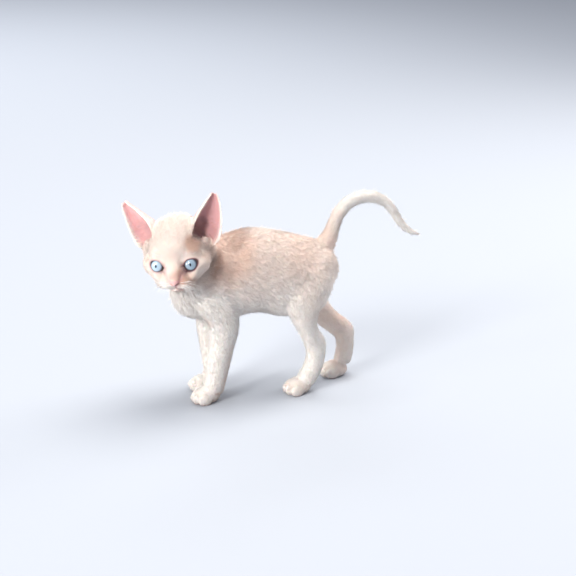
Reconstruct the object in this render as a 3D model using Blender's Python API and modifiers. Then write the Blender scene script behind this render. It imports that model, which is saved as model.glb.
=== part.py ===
"""A Devon Rex kitten about nine weeks old, life size, standing with its head turned to its left.

The body and the head are each fused from muscle masses and lofted limbs into one smooth form, and then
parted with thin flat cuts into the pieces that a person would name. The kitten looks along -X, its left
side is towards -Y, and +Z is up. Sizes are in millimetres and are scaled to metres as meshes are made.
"""

import math

import bmesh
import bpy
import numpy as np
from mathutils import Matrix, Vector

MM = 0.001

# The gap left by a cut between two neighbouring pieces, and how near points are welded after a cut
CUT = 0.3
WELD = 0.004

# Fusing: grid, softening passes and growth of the broad masses, then those of the finer forms
BROAD_GRID, BROAD_PASSES, BROAD_GROWTH = 1.5, 26, 0.7
BODY_GRID, BODY_PASSES = 0.95, 3
HEAD_GRID, HEAD_PASSES = 0.75, 4
BODY_FACES, HEAD_FACES = 3700, 3000
RING_SIDES, EAR_SIDES = 28, 20

# Trunk: place along X, top line, bottom line, half width
TRUNK = (
    (-90, 134, 80, 19.0),
    (-78, 143, 73, 24.0),
    (-66, 150, 73, 27.0),
    (-53, 154.5, 75, 28.5),
    (-40, 157.4, 77, 29.5),
    (-26, 156.4, 77, 30.0),
    (-13, 153.6, 72.5, 30.0),
    (0, 150.4, 71.5, 29.5),
    (12, 146.7, 74, 28.0),
    (23, 143.4, 79, 26.0),
    (32, 140.0, 88, 22.5),
    (39, 135.0, 96, 17.5),
    (43, 129.0, 103, 12.0),
)

# Limbs and neck: X, Y, Z of the middle, half depth fore and aft, half width
LEFT_FORELEG = (
    (-79, -15, 114, 17.0, 10.0),
    (-71, -18, 94, 18.4, 11.4),
    (-65.5, -18.5, 79, 15.2, 11.4),
    (-65.3, -18, 66, 13.6, 10.8),
    (-67, -17, 55, 12.0, 10.2),
    (-68.9, -16, 43, 11.2, 9.8),
    (-71, -15.5, 31, 10.5, 9.6),
    (-73.4, -15.2, 20, 10.0, 9.4),
    (-76, -15, 9, 9.4, 9.4),
)
RIGHT_FORELEG = (
    (-80, 15, 112, 17.0, 10.0),
    (-75, 18, 92, 16.4, 11.0),
    (-71, 18, 76, 13.8, 11.0),
    (-70.6, 17, 62, 12.8, 10.4),
    (-69.8, 16.2, 46, 11.2, 9.8),
    (-68.8, 15.6, 33, 10.6, 9.6),
    (-67.8, 15.2, 22, 10.0, 9.4),
    (-68.5, 15, 9, 9.4, 9.4),
)
LEFT_HINDLEG = (
    (24, -12, 126, 17.5, 11.0),
    (20, -16, 112, 20.5, 13.0),
    (14, -19, 98, 20.5, 12.8),
    (9.5, -21, 86, 17.6, 11.8),
    (9.8, -21, 76, 13.4, 10.8),
    (12.0, -20, 67, 10.3, 9.4),
    (15.8, -18.5, 57.5, 9.2, 8.6),
    (21.0, -17, 48, 10.2, 8.2),
    (22.2, -16.6, 39, 9.4, 8.0),
    (21.2, -16.4, 30, 9.0, 8.0),
    (17.6, -16.2, 20, 9.2, 8.4),
    (11, -16, 10, 8.8, 9.0),
)
RIGHT_HINDLEG = (
    (25, 12, 126, 17.5, 11.0),
    (24, 16, 112, 20.0, 13.0),
    (23.5, 19, 98, 19.6, 12.8),
    (25, 21, 85, 17.8, 11.8),
    (30, 21.5, 73, 14.4, 10.8),
    (40, 20, 62, 11.2, 9.4),
    (50, 18.5, 52.5, 10.2, 8.6),
    (59.5, 17.4, 44.5, 10.4, 8.2),
    (61.2, 17, 34, 8.8, 7.8),
    (60.8, 16.6, 24, 8.4, 7.8),
    (58, 16.4, 13, 8.6, 8.6),
)
NECK = (
    (-58, 0, 122, 28.0, 25.0),
    (-74, 0, 131, 25.0, 23.0),
    (-88, 1, 138, 21.5, 20.0),
    (-99, -4, 143, 19.0, 18.0),
)
TAIL = (
    (31, 0, 131, 12.0, 11.0),
    (39.0, 0, 143, 8.8, 8.6),
    (43.2, 0.4, 153.5, 7.3, 7.3),
    (47.6, 0.8, 163, 7.1, 7.1),
    (54, 1.2, 170.8, 7.0, 7.0),
    (62, 1.6, 175.9, 7.0, 7.0),
    (71, 2.0, 178.1, 6.9, 6.9),
    (80, 2.2, 178.0, 6.6, 6.6),
    (88, 2.2, 175.2, 6.1, 6.1),
    (95.5, 2.0, 170.4, 5.5, 5.5),
    (101.5, 1.6, 163, 5.1, 5.1),
    (106.8, 1.0, 154.4, 4.8, 4.8),
    (113, 0.4, 146.8, 4.4, 4.4),
    (119.5, 0, 142.0, 3.2, 3.2),
    (127.5, -0.4, 139.2, 1.0, 1.0),
)

# Rounded masses of the trunk: middle, half sizes
BODY_MASSES = (
    ((-87, 0, 105), (23.5, 21, 29)),
    ((-81, -12, 112), (20, 14, 27)),
    ((-81, 12, 112), (20, 14, 27)),
    ((-69, -17, 120), (19, 12.5, 27)),
    ((-69, 17, 120), (19, 12.5, 27)),
    ((27.5, -11, 117), (18, 12, 20)),
    ((27.5, 11, 117), (18, 12, 20)),
)

# Paws: middle of the sole, heading from -X towards -Y in degrees
PAWS = {
    "forepaw_left": ((-80.5, -15), 8),
    "forepaw_right": ((-76.5, 15), 0),
    "hindpaw_left": ((6.5, -16), 6),
    "hindpaw_right": ((51.5, 16.2), -4),
}
PALM, PALM_HEIGHT = (11.8, 10.0, 8.6), 6.8
TOE, TOE_HEIGHT = (7.0, 3.7, 5.9), 4.7
TOE_PLACES = ((5.0, -8.4), (8.8, -3.1), (8.8, 3.1), (5.0, 8.4))

# Head: middle of the skull, then turn to the left, nose down and lean in degrees
HEAD_MIDDLE = (-105.5, -20, 144.5)
HEAD_TURN, HEAD_NOD, HEAD_LEAN = 68.5, 13.5, 5.0

# Masses of the head in its own frame of forward, left and up: skull, cheeks, brow and muzzle, and then
# the pairs at the side of the head: cheek, brow, ear root, temple, muzzle and lids
SKULL_MASSES = (
    ((-7, 0, 6.5), (26.5, 26.5, 26)),
    ((7, 0, -5), (18.5, 27.5, 16)),
    ((8, 0, -14.5), (16, 17, 9)),
    ((7, 0, 10), (14.5, 18, 13)),
    ((15, 0, 0), (8.5, 11, 12)),
    ((19, 0, -6), (10.8, 7.6, 9)),
    ((16.2, 0, -12.8), (12.4, 16.5, 11.0)),
)
PAIRED_SKULL_MASSES = (
    ((9, 17, -4), (13, 13.4, 12)),
    ((8.5, 12, 6), (11, 12, 10)),
    ((-6, 21, 8), (12, 10, 11)),
    ((8.5, 14.5, 2), (11, 11, 9)),
    ((14.5, 12, -10.5), (11.5, 10.8, 8.5)),
    ((-6, 22.5, -1), (10, 10.5, 10)),
    ((15.2, 14.4, -2.0), (9.9, 9.9, 9.9)),
)
NOSE_MASS = ((28.6, 0, -12.9), (4.3, 4.9, 4.1))
CHIN_MASS = ((21.4, 0, -21.2), (7.0, 7.4, 5.3))
LIP_MASS = ((22.2, 7.2, -16.4), (8.3, 8.2, 6.3))

# Eyes: middle, radius, thickness of the lid, and the almond opening
EYE_MIDDLE, EYE_RADIUS, LID = (15.2, 14.4, -2.0), 8.2, 1.0
EYE_OUTWARD, EYE_UPWARD, EYE_SLANT = 10, 20, 14
EYE_OPENING = (6.1, 5.0)
EYE_SEGMENTS = 20

# Ears from root to tip, the right one as mirrored to the left: front edge, outer edge, depth, and the wall
# beside and behind the hollow. The right ear leans further outwards.
EAR_SECTIONS = {
    "left": (
        ((3, 12.5, 17), (2, 31, 4), 18.0, 6.5, 0.2),
        ((-1, 16.5, 26), (0, 39.5, 11), 16.0, 4.0, 2.5),
        ((-6, 22.0, 35), (-4, 42.6, 23), 12.0, 2.0, 4.0),
        ((-10.5, 28.8, 43.5), (-9, 43.0, 37.4), 7.5, 1.5, 4.0),
        ((-12.3, 32.2, 47.4), (-12.0, 41.8, 45.6), 4.4, 1.3, 3.0),
        ((-13.5, 34.7, 50.2), (-13.3, 39.6, 49.5), 2.4, 1.0, 2.0),
    ),
    "right": (
        ((5.0, 17.9, 19.1), (-0.5, 29.3, 1.6), 18.0, 6.5, 0.2),
        ((0.5, 19.6, 26.0), (-5.0, 37.5, 6.5), 16.0, 4.0, 2.5),
        ((-7.0, 24.7, 30.8), (-10.5, 43.1, 17.9), 12.0, 2.0, 4.0),
        ((-15.0, 33.8, 36.3), (-17.0, 47.3, 30.1), 7.5, 1.5, 4.0),
        ((-18.7, 40.3, 40.1), (-20.0, 48.9, 36.2), 4.4, 1.3, 3.0),
        ((-20.7, 44.4, 42.9), (-21.2, 48.5, 40.3), 2.4, 1.0, 2.0),
    ),
}
EAR_RIM, EAR_SKEW = 1.4, 0.5
EAR_CUT_NORMAL, EAR_CUT_REACH = (-0.25, 0.63, 0.74), 34.4

# The side of the head that each ear is on, 1 for its left
EARS = {"left": 1, "right": -1}

# Lines pressed into the left half of the head: points, half width and depth
PRESSED_LINES = (
    (((33, 0, -15.6), (34, 0, -17.4), (33, 0.2, -19.8)), 0.8, 0.9),
    (((33, 0.2, -19.8), (32.5, 4, -21.2), (29.5, 8, -20.6), (25, 12.5, -18.6)), 0.9, 1.4),
    (((33.5, 2.1, -13.8), (32.5, 3.6, -13.2)), 0.75, 1.2),
)

# Planes that keep a cut of the body to one quarter: a point and an outward normal
LEFT_HALF, RIGHT_HALF = ((0, 0, 0), (0, 1, 0)), ((0, 0, 0), (0, -1, 0))
FORE_END, HIND_END = ((-40, 0, 0), (1, 0, 0)), ((-20, 0, 0), (-1, 0, 0))

# Cuts: name of the new piece, the piece it comes from, and points and outward normals of its sides
BODY_CUTS = (
    ("neck", "torso", (((-74, 0, 131), (0.86, 0, -0.5)), ((-96, 0, 118), (0.25, 0, -0.97)))),
    ("tail_base", "torso", (((38, 0, 143.5), (-0.45, 0, -0.9)), ((0, 0, 138), (0, 0, -1)))),
    ("tail_middle", "tail_base", (((66, 0, 177), (-0.95, 0, -0.3)),)),
    ("tail_tip", "tail_middle", (((101.5, 0, 163), (-0.55, 0, 0.83)), ((95, 0, 0), (-1, 0, 0)))),
    ("foreleg_left_upper", "torso", (((0, 0, 71.5), (0, 0, 1)), FORE_END, LEFT_HALF)),
    ("foreleg_left_lower", "foreleg_left_upper", (((0, 0, 46), (0.12, 0, 1)),)),
    ("forepaw_left", "foreleg_left_lower", (((-76, 0, 15), (0.2, 0, 1)),)),
    ("foreleg_right_upper", "torso", (((0, 0, 71.5), (0, 0, 1)), FORE_END, RIGHT_HALF)),
    ("foreleg_right_lower", "foreleg_right_upper", (((0, 0, 46), (0, 0, 1)),)),
    ("forepaw_right", "foreleg_right_lower", (((-70, 0, 15), (0.1, 0, 1)),)),
    ("hindleg_left_upper", "torso", (((10, 0, 70), (-0.3, 0, 1)), HIND_END, LEFT_HALF)),
    ("hindleg_left_lower", "hindleg_left_upper", (((20, 0, 49), (0.3, 0, 1)),)),
    ("hindpaw_left", "hindleg_left_lower", (((14, 0, 16), (0.35, 0, 1)),)),
    ("hindleg_right_upper", "torso", (((30, 0, 71), (-0.5, 0, 1)), HIND_END, RIGHT_HALF)),
    ("hindleg_right_lower", "hindleg_right_upper", (((60, 0, 43), (0.3, 0, 1)),)),
    ("hindpaw_right", "hindleg_right_lower", (((58, 0, 15), (0.25, 0, 1)),)),
)
HEAD_NECK_CUT = ((-91, -2, 139), (0.80, 0.42, -0.43))
ABOVE_CHEST = ((-100, -10, 119), (0.3, 0.2, -0.93))
ABOVE_FLOOR = ((0, 0, 0), (0, 0, -1))
NOSE_CUT = (
    ((30.5, 0, 0), (-1, 0, 0)),
    ((0, 0, -15.6), (0, 0, -1)),
    ((0, 4.5, 0), (0, 1, 0)),
    ((0, -4.5, 0), (0, -1, 0)),
)

# Colour and roughness of each kind of piece
CREAM, WHITE, PINK = (0.84, 0.73, 0.62), (0.87, 0.81, 0.74), (0.80, 0.55, 0.49)
FINISHES = {
    "head": (WHITE, 0.85),
    "neck": (CREAM, 0.85),
    "torso": (CREAM, 0.85),
    "ear": (PINK, 0.6),
    "nose": (PINK, 0.45),
    "eye": ((0.42, 0.62, 0.78), 0.08),
    "tail": (CREAM, 0.85),
    "foreleg": (WHITE, 0.85),
    "hindleg": (WHITE, 0.85),
    "forepaw": (WHITE, 0.8),
    "hindpaw": (WHITE, 0.8),
}


def clear_scene():
    for obj in list(bpy.data.objects):
        bpy.data.objects.remove(obj)


def new_object(name, bm, collection):
    """A mesh object from a bmesh, whose millimetres are scaled to metres."""
    bmesh.ops.recalc_face_normals(bm, faces=bm.faces)
    bmesh.ops.scale(bm, vec=(MM, MM, MM), verts=bm.verts)
    mesh = bpy.data.meshes.new(name)
    bm.to_mesh(mesh)
    bm.free()
    obj = bpy.data.objects.new(name, mesh)
    collection.objects.link(obj)
    return obj


def head_frame():
    """The matrix that carries (forward, left, up) on the head to the world."""
    turn = Matrix.Rotation(math.radians(HEAD_TURN + 180), 4, "Z")
    nod = Matrix.Rotation(math.radians(HEAD_NOD), 4, "Y")
    lean = Matrix.Rotation(math.radians(HEAD_LEAN), 4, "X")
    return Matrix.Translation(HEAD_MIDDLE) @ turn @ nod @ lean


def mirrored(point, side):
    return Vector((point[0], point[1] * side, point[2]))


def add_ellipsoid(bm, middle, half_sizes, frame=Matrix(), segments=24):
    place = frame @ Matrix.Translation(middle) @ Matrix.Diagonal((*half_sizes, 1))
    bmesh.ops.create_uvsphere(
        bm, u_segments=segments, v_segments=segments // 2, radius=1, matrix=place
    )


def eased(stations, steps=4):
    """The stations with more set between them on a Catmull-Rom curve."""
    rows = [Vector(s) for s in stations]
    rows = [rows[0], *rows, rows[-1]]
    found = []
    for a, b, c, d in zip(rows, rows[1:], rows[2:], rows[3:]):
        for k in range(steps):
            t = k / steps
            bend = 2 * a - 5 * b + 4 * c - d
            twist = 3 * b - a - 3 * c + d
            found.append(0.5 * (2 * b + (c - a) * t + bend * t**2 + twist * t**3))
    return [*found, rows[-1]]


def add_loft(bm, rings, frame=Matrix()):
    """Joins rings of points, all with the same number of points, into a closed tube."""
    made = [[bm.verts.new(frame @ p) for p in ring] for ring in rings]
    count = len(made[0])
    for low, high in zip(made, made[1:]):
        for k in range(count):
            n = (k + 1) % count
            bm.faces.new((low[k], low[n], high[n], high[k]))
    bm.faces.new(list(reversed(made[0])))
    bm.faces.new(made[-1])


def round_ring(middle, across, along, sides=RING_SIDES):
    angles = [2 * math.pi * n / sides for n in range(sides)]
    return [middle + across * math.cos(a) + along * math.sin(a) for a in angles]


def add_limb(bm, stations):
    """A tube through stations of middle, half depth and half width, its rings square to its course."""
    path = eased(stations)
    middles = [Vector(s[:3]) for s in path]
    rings = []
    for k, station in enumerate(path):
        course = (middles[min(k + 1, len(path) - 1)] - middles[max(k - 1, 0)]).normalized()
        side = (Vector((0, 1, 0)) - course * course.y).normalized()
        rings.append(round_ring(middles[k], side.cross(course) * station[3], side * station[4]))
    add_loft(bm, rings)


def add_trunk(bm):
    rings = []
    for x, top, bottom, half_width in eased(TRUNK):
        middle = Vector((x, 0, (top + bottom) / 2))
        across = Vector((0, half_width, 0))
        rings.append(round_ring(middle, across, Vector((0, 0, (top - bottom) / 2))))
    add_loft(bm, rings)


def add_paw(bm, sole, heading):
    """A palm and four toes that point along the heading."""
    frame = Matrix.Translation((*sole, 0)) @ Matrix.Rotation(math.radians(heading + 180), 4, "Z")
    add_ellipsoid(bm, (0, 0, PALM_HEIGHT), PALM, frame)
    for forward, side in TOE_PLACES:
        add_ellipsoid(bm, (forward, side, TOE_HEIGHT), TOE, frame)


def ear_frame(name):
    """The matrix that carries the sections of an ear to the head's frame."""
    return Matrix.Diagonal((1, EARS[name], 1, 1))


def ear_ring(front, outer, back, wall, bulge):
    """A half ring round the back of the ear, closed by a front that bulges."""
    middle = (front + outer) / 2
    across = (outer - front) / 2
    across *= 1 - wall / max(across.length, 2 * wall)
    ahead = back.normalized() * bulge
    back = back * max(1 - wall / back.length, 0.2)
    count = EAR_SIDES // 2
    ring = []
    for k in range(2 * count):
        angle = math.pi * k / count
        depth = back if k <= count else ahead
        ring.append(middle - across * math.cos(angle) + depth * math.sin(angle))
    return ring


def ear_rings(name, hollow):
    """Rings of the ear from its root to its tip, or those of the hollow of its cup."""
    rings = []
    path = eased([(*front, *outer, *sizes) for front, outer, *sizes in EAR_SECTIONS[name]], 2)
    for k, row in enumerate(path):
        front, outer = Vector(row[:3]), Vector(row[3:6])
        low, high = path[max(k - 1, 0)], path[min(k + 1, len(path) - 1)]
        rise = Vector(high[:3]) + Vector(high[3:6]) - Vector(low[:3]) - Vector(low[3:6])
        back = rise.cross(outer - front).normalized() - (outer - front).normalized() * EAR_SKEW
        back = back * row[6]
        wall, bulge = (row[7], row[8]) if hollow else (0, EAR_RIM)
        rings.append(ear_ring(front, outer, back, wall, bulge))
    return rings


def add_skull(bm):
    frame = head_frame()
    for middle, half_sizes in SKULL_MASSES:
        add_ellipsoid(bm, middle, half_sizes, frame)
    for side in (-1, 1):
        for middle, half_sizes in PAIRED_SKULL_MASSES:
            add_ellipsoid(bm, mirrored(middle, side), half_sizes, frame)


def add_face(bm):
    """The nose, chin, lips, lids and ears."""
    frame = head_frame()
    for middle, half_sizes in (NOSE_MASS, CHIN_MASS):
        add_ellipsoid(bm, middle, half_sizes, frame)
    for side in (-1, 1):
        add_ellipsoid(bm, mirrored(LIP_MASS[0], side), LIP_MASS[1], frame)
        add_ellipsoid(bm, mirrored(EYE_MIDDLE, side), (EYE_RADIUS + LID,) * 3, frame)
    for name in EARS:
        add_loft(bm, ear_rings(name, False), frame @ ear_frame(name))


def applied(obj):
    """Turns the modifiers of the object into its mesh."""
    graph = bpy.context.evaluated_depsgraph_get()
    mesh = bpy.data.meshes.new_from_object(obj.evaluated_get(graph))
    obj.modifiers.clear()
    obj.data = mesh
    return obj


def fused(obj, grid, passes, growth=0):
    """The solids in the object joined on a grid, softened, and grown to make up for what that takes off."""
    remesh = obj.modifiers.new("fuse", "REMESH")
    remesh.mode = "VOXEL"
    remesh.voxel_size = grid * MM
    smooth = obj.modifiers.new("soften", "SMOOTH")
    smooth.factor = 0.5
    smooth.iterations = passes
    grow = obj.modifiers.new("grow", "DISPLACE")
    grow.strength = growth * MM
    grow.mid_level = 0
    return applied(obj)


def thinned(obj, faces):
    """The object with its number of triangles brought down to the given number."""
    triangles = sum(len(p.vertices) - 2 for p in obj.data.polygons)
    thin = obj.modifiers.new("thin", "DECIMATE")
    thin.ratio = min(1, faces / triangles)
    return applied(obj)


def fused_in_two_steps(name, add_broad, add_fine, grid, passes, collection):
    """Broad masses fused and softened well, then finer forms added and softened lightly."""
    broad = bmesh.new()
    add_broad(broad)
    base = fused(new_object(name, broad, collection), BROAD_GRID, BROAD_PASSES, BROAD_GROWTH)
    fine = bmesh.new()
    add_fine(fine)
    bmesh.ops.recalc_face_normals(fine, faces=fine.faces)
    bmesh.ops.scale(fine, vec=(MM, MM, MM), verts=fine.verts)
    fine.from_mesh(base.data)
    fine.to_mesh(base.data)
    fine.free()
    return fused(base, grid, passes)


def limbs_and_masses(bm):
    add_trunk(bm)
    for stations in (LEFT_FORELEG, RIGHT_FORELEG, LEFT_HINDLEG, RIGHT_HINDLEG, NECK):
        add_limb(bm, stations)
    for middle, half_sizes in BODY_MASSES:
        add_ellipsoid(bm, middle, half_sizes)


def tail_and_paws(bm):
    add_limb(bm, TAIL)
    for sole, heading in PAWS.values():
        add_paw(bm, sole, heading)


def neck_and_skull(bm):
    add_limb(bm, NECK)
    add_skull(bm)


def region(sides, grow=0, frame=Matrix()):
    """A convex solid bounded by planes, each given by a point and an outward normal."""
    bm = bmesh.new()
    bmesh.ops.create_cube(bm, size=1000)
    for point, normal in sides:
        outward = (frame.to_3x3() @ Vector(normal)).normalized()
        place = frame @ Vector(point) + outward * grow
        geometry = [*bm.verts, *bm.edges, *bm.faces]
        cut = bmesh.ops.bisect_plane(
            bm, geom=geometry, plane_co=place, plane_no=outward, clear_outer=True
        )
        edges = [e for e in cut["geom_cut"] if isinstance(e, bmesh.types.BMEdge)]
        bmesh.ops.contextual_create(bm, geom=edges)
    return bm


def boolean(obj, bm, operation):
    """Cuts the object with the solid in the bmesh, and removes that solid."""
    tool = new_object("tool", bm, obj.users_collection[0])
    cut = obj.modifiers.new("cut", "BOOLEAN")
    cut.object = tool
    cut.operation = operation
    cut.solver = "EXACT"
    applied(obj)
    bpy.data.objects.remove(tool)


def part_off(pieces, name, source, sides, frame=Matrix()):
    """Takes the named piece out of its source, and leaves a gap between the two."""
    old = pieces[source]
    pieces[name] = bpy.data.objects.new(name, old.data.copy())
    old.users_collection[0].objects.link(pieces[name])
    boolean(pieces[name], region(sides, 0, frame), "INTERSECT")
    boolean(old, region(sides, CUT, frame), "DIFFERENCE")


def eye_frame(side):
    """The matrix at the middle of an eye whose X leaves through the opening and whose Y is its width."""
    outward = Matrix.Rotation(math.radians(EYE_OUTWARD), 4, "Z")
    upward = Matrix.Rotation(math.radians(-EYE_UPWARD), 4, "Y")
    slant = Matrix.Rotation(math.radians(EYE_SLANT), 4, "X")
    mirror = Matrix.Diagonal((1, side, 1, 1))
    return head_frame() @ mirror @ Matrix.Translation(EYE_MIDDLE) @ outward @ upward @ slant


def eyeball(side, radius):
    bm = bmesh.new()
    add_ellipsoid(bm, (0, 0, 0), (radius,) * 3, eye_frame(side), EYE_SEGMENTS)
    return bm


def lid_opening(side):
    """The solid that opens the lids: an almond that widens as it leaves the ball."""
    rings = []
    for reach, size in ((0.55, 0.8), (1.0, 1.0), (1.7, 1.25)):
        ring = []
        for k in range(EYE_SEGMENTS):
            angle = 2 * math.pi * k / EYE_SEGMENTS
            width = EYE_OPENING[0] * size * math.cos(angle)
            height = EYE_OPENING[1] * size * math.sin(angle) * (1 - 0.18 * abs(math.cos(angle)))
            ring.append(Vector((EYE_RADIUS * reach, width, height)))
        rings.append(ring)
    bm = bmesh.new()
    add_loft(bm, rings, eye_frame(side))
    return bm


def press(obj, lines, frame):
    """Presses lines into the mesh on both sides, deepest along the line itself."""
    mesh = obj.data
    places = np.empty(3 * len(mesh.vertices))
    normals = np.empty(3 * len(mesh.vertices))
    mesh.vertices.foreach_get("co", places)
    mesh.vertices.foreach_get("normal", normals)
    places, normals = places.reshape(-1, 3), normals.reshape(-1, 3)
    sunk = np.zeros(len(places))
    for path, half_width, depth in lines:
        for side in (-1, 1):
            points = np.array([frame @ mirrored(p, side) * MM for p in eased(path, 5)])
            reach = np.full(len(places), np.inf)
            for start, end in zip(points, points[1:]):
                along = np.clip((places - start) @ (end - start) / sum((end - start) ** 2), 0, 1)
                gap = places - start - along[:, None] * (end - start)
                reach = np.minimum(reach, np.linalg.norm(gap, axis=1))
            sunk = np.maximum(sunk, depth * MM * np.exp(-((reach / (half_width * MM)) ** 2)))
    mesh.vertices.foreach_set("co", (places - normals * sunk[:, None]).ravel())
    mesh.update()


def welded(obj):
    """Joins the stray points that cuts leave on one another."""
    bm = bmesh.new()
    bm.from_mesh(obj.data)
    bmesh.ops.remove_doubles(bm, verts=bm.verts, dist=WELD * MM)
    bmesh.ops.dissolve_degenerate(bm, dist=WELD * MM, edges=bm.edges)
    bm.to_mesh(obj.data)
    bm.free()


def finish(obj, name):
    colour, roughness = FINISHES[name.split("_")[0]]
    material = bpy.data.materials.new(name + "_finish")
    material.use_nodes = True
    shader = material.node_tree.nodes["Principled BSDF"]
    shader.inputs["Base Color"].default_value = (*colour, 1)
    shader.inputs["Roughness"].default_value = roughness
    obj.data.materials.clear()
    obj.data.materials.append(material)
    obj.name = name


def set_origin(pieces):
    """Moves every mesh so that the middle of the underside of their box is the origin."""
    corners = [v.co for obj in pieces.values() for v in obj.data.vertices]
    low = Vector([min(c[k] for c in corners) for k in range(3)])
    high = Vector([max(c[k] for c in corners) for k in range(3)])
    shift = Matrix.Translation((-(low.x + high.x) / 2, -(low.y + high.y) / 2, -low.z))
    for obj in pieces.values():
        obj.data.transform(shift)


def make_body(collection):
    torso = fused_in_two_steps(
        "torso", limbs_and_masses, tail_and_paws, BODY_GRID, BODY_PASSES, collection
    )
    thinned(torso, BODY_FACES)
    boolean(torso, region((ABOVE_FLOOR,)), "INTERSECT")
    boolean(torso, region((HEAD_NECK_CUT, ABOVE_CHEST), CUT), "DIFFERENCE")
    pieces = {"torso": torso}
    for name, source, sides in BODY_CUTS:
        part_off(pieces, name, source, sides)
    return pieces


def make_head(collection):
    head = fused_in_two_steps("head", neck_and_skull, add_face, HEAD_GRID, HEAD_PASSES, collection)
    frame = head_frame()
    press(head, PRESSED_LINES, frame)
    thinned(head, HEAD_FACES)
    boolean(head, region((HEAD_NECK_CUT,)), "INTERSECT")
    for name in EARS:
        cup = bmesh.new()
        add_loft(cup, ear_rings(name, True), frame @ ear_frame(name))
        boolean(head, cup, "DIFFERENCE")
    pieces = {"head": head}
    for side, name in ((1, "eye_left"), (-1, "eye_right")):
        boolean(head, eyeball(side, EYE_RADIUS + CUT), "DIFFERENCE")
        boolean(head, lid_opening(side), "DIFFERENCE")
        pieces[name] = new_object(name, eyeball(side, EYE_RADIUS), collection)
    part_off(pieces, "nose", "head", NOSE_CUT, frame)
    for name, side in EARS.items():
        normal = mirrored(EAR_CUT_NORMAL, side).normalized()
        part_off(pieces, "ear_" + name, "head", ((normal * EAR_CUT_REACH, -normal),), frame)
    return pieces


def main():
    clear_scene()
    kitten = bpy.data.collections.new("devon_rex_kitten")
    bpy.context.scene.collection.children.link(kitten)
    pieces = {**make_body(kitten), **make_head(kitten)}
    for name, obj in pieces.items():
        welded(obj)
        finish(obj, name)
    set_origin(pieces)


main()
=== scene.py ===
"""The dressed model of a Devon Rex kitten: one skin, a short waved coat, eyes, whiskers and a plain studio.

The skin is fused from the same limbs and masses as the solids, a coat's depth inside them, and finished
with small strokes. The coat is thin tufts laid along the lie of the hair. Sizes are in millimetres in the
frame in which the kitten was drawn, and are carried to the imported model's frame as meshes are made.
"""

import math

import bmesh
import bpy
import numpy as np
from mathutils import Matrix, Vector


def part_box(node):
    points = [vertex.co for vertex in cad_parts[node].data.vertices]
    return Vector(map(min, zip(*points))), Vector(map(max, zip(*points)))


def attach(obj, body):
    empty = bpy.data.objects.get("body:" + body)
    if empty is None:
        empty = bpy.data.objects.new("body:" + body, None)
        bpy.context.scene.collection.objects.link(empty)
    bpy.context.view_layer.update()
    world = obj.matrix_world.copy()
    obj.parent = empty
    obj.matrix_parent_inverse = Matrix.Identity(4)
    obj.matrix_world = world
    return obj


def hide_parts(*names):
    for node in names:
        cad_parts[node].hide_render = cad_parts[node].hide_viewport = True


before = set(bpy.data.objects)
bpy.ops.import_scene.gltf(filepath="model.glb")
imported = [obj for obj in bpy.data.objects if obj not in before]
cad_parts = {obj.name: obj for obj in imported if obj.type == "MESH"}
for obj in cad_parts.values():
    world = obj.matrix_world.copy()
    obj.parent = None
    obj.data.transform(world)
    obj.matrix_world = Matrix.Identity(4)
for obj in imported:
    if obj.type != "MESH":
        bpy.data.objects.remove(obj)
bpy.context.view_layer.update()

MM = 0.001
SEED = 20

# Fusing of the skin: grid, softening passes and growth of the broad masses, then of the finer forms
BROAD_GRID, BROAD_PASSES, BROAD_GROWTH = 1.5, 26, 0.7
FINE_GRID, FINE_PASSES = 0.74, 3
SKIN_TRIANGLES = 125000
RING_SIDES = 36

# Trunk: place along X, top line, bottom line, half width
TRUNK = (
    (-90, 134, 80, 19.0),
    (-78, 143, 73, 24.0),
    (-66, 150, 73, 27.0),
    (-53, 154.5, 75, 28.5),
    (-40, 157.4, 77, 29.5),
    (-26, 156.4, 77, 30.0),
    (-13, 153.6, 72.5, 30.0),
    (0, 150.4, 71.5, 29.5),
    (12, 146.7, 74, 28.0),
    (23, 143.4, 79, 26.0),
    (32, 140.0, 88, 22.5),
    (39, 135.0, 96, 17.5),
    (43, 129.0, 103, 12.0),
)

# Limbs and neck: X, Y, Z of the middle, half depth fore and aft, half width
LEFT_FORELEG = (
    (-79, -15, 114, 17.0, 10.0),
    (-71, -18, 94, 18.4, 11.4),
    (-65.5, -18.5, 79, 15.2, 11.4),
    (-65.3, -18, 66, 13.6, 10.8),
    (-67, -17, 55, 12.0, 10.2),
    (-68.9, -16, 43, 11.2, 9.8),
    (-71, -15.5, 31, 10.5, 9.6),
    (-73.4, -15.2, 20, 10.0, 9.4),
    (-76, -15, 9, 9.4, 9.4),
)
RIGHT_FORELEG = (
    (-80, 15, 112, 17.0, 10.0),
    (-75, 18, 92, 16.4, 11.0),
    (-71, 18, 76, 13.8, 11.0),
    (-70.6, 17, 62, 12.8, 10.4),
    (-69.8, 16.2, 46, 11.2, 9.8),
    (-68.8, 15.6, 33, 10.6, 9.6),
    (-67.8, 15.2, 22, 10.0, 9.4),
    (-68.5, 15, 9, 9.4, 9.4),
)
LEFT_HINDLEG = (
    (24, -12, 126, 17.5, 11.0),
    (20, -16, 112, 20.5, 13.0),
    (14, -19, 98, 20.5, 12.8),
    (9.5, -21, 86, 17.6, 11.8),
    (9.8, -21, 76, 13.4, 10.8),
    (12.0, -20, 67, 10.3, 9.4),
    (15.8, -18.5, 57.5, 9.2, 8.6),
    (21.0, -17, 48, 10.2, 8.2),
    (22.2, -16.6, 39, 9.4, 8.0),
    (21.2, -16.4, 30, 9.0, 8.0),
    (17.6, -16.2, 20, 9.2, 8.4),
    (11, -16, 10, 8.8, 9.0),
)
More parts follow.
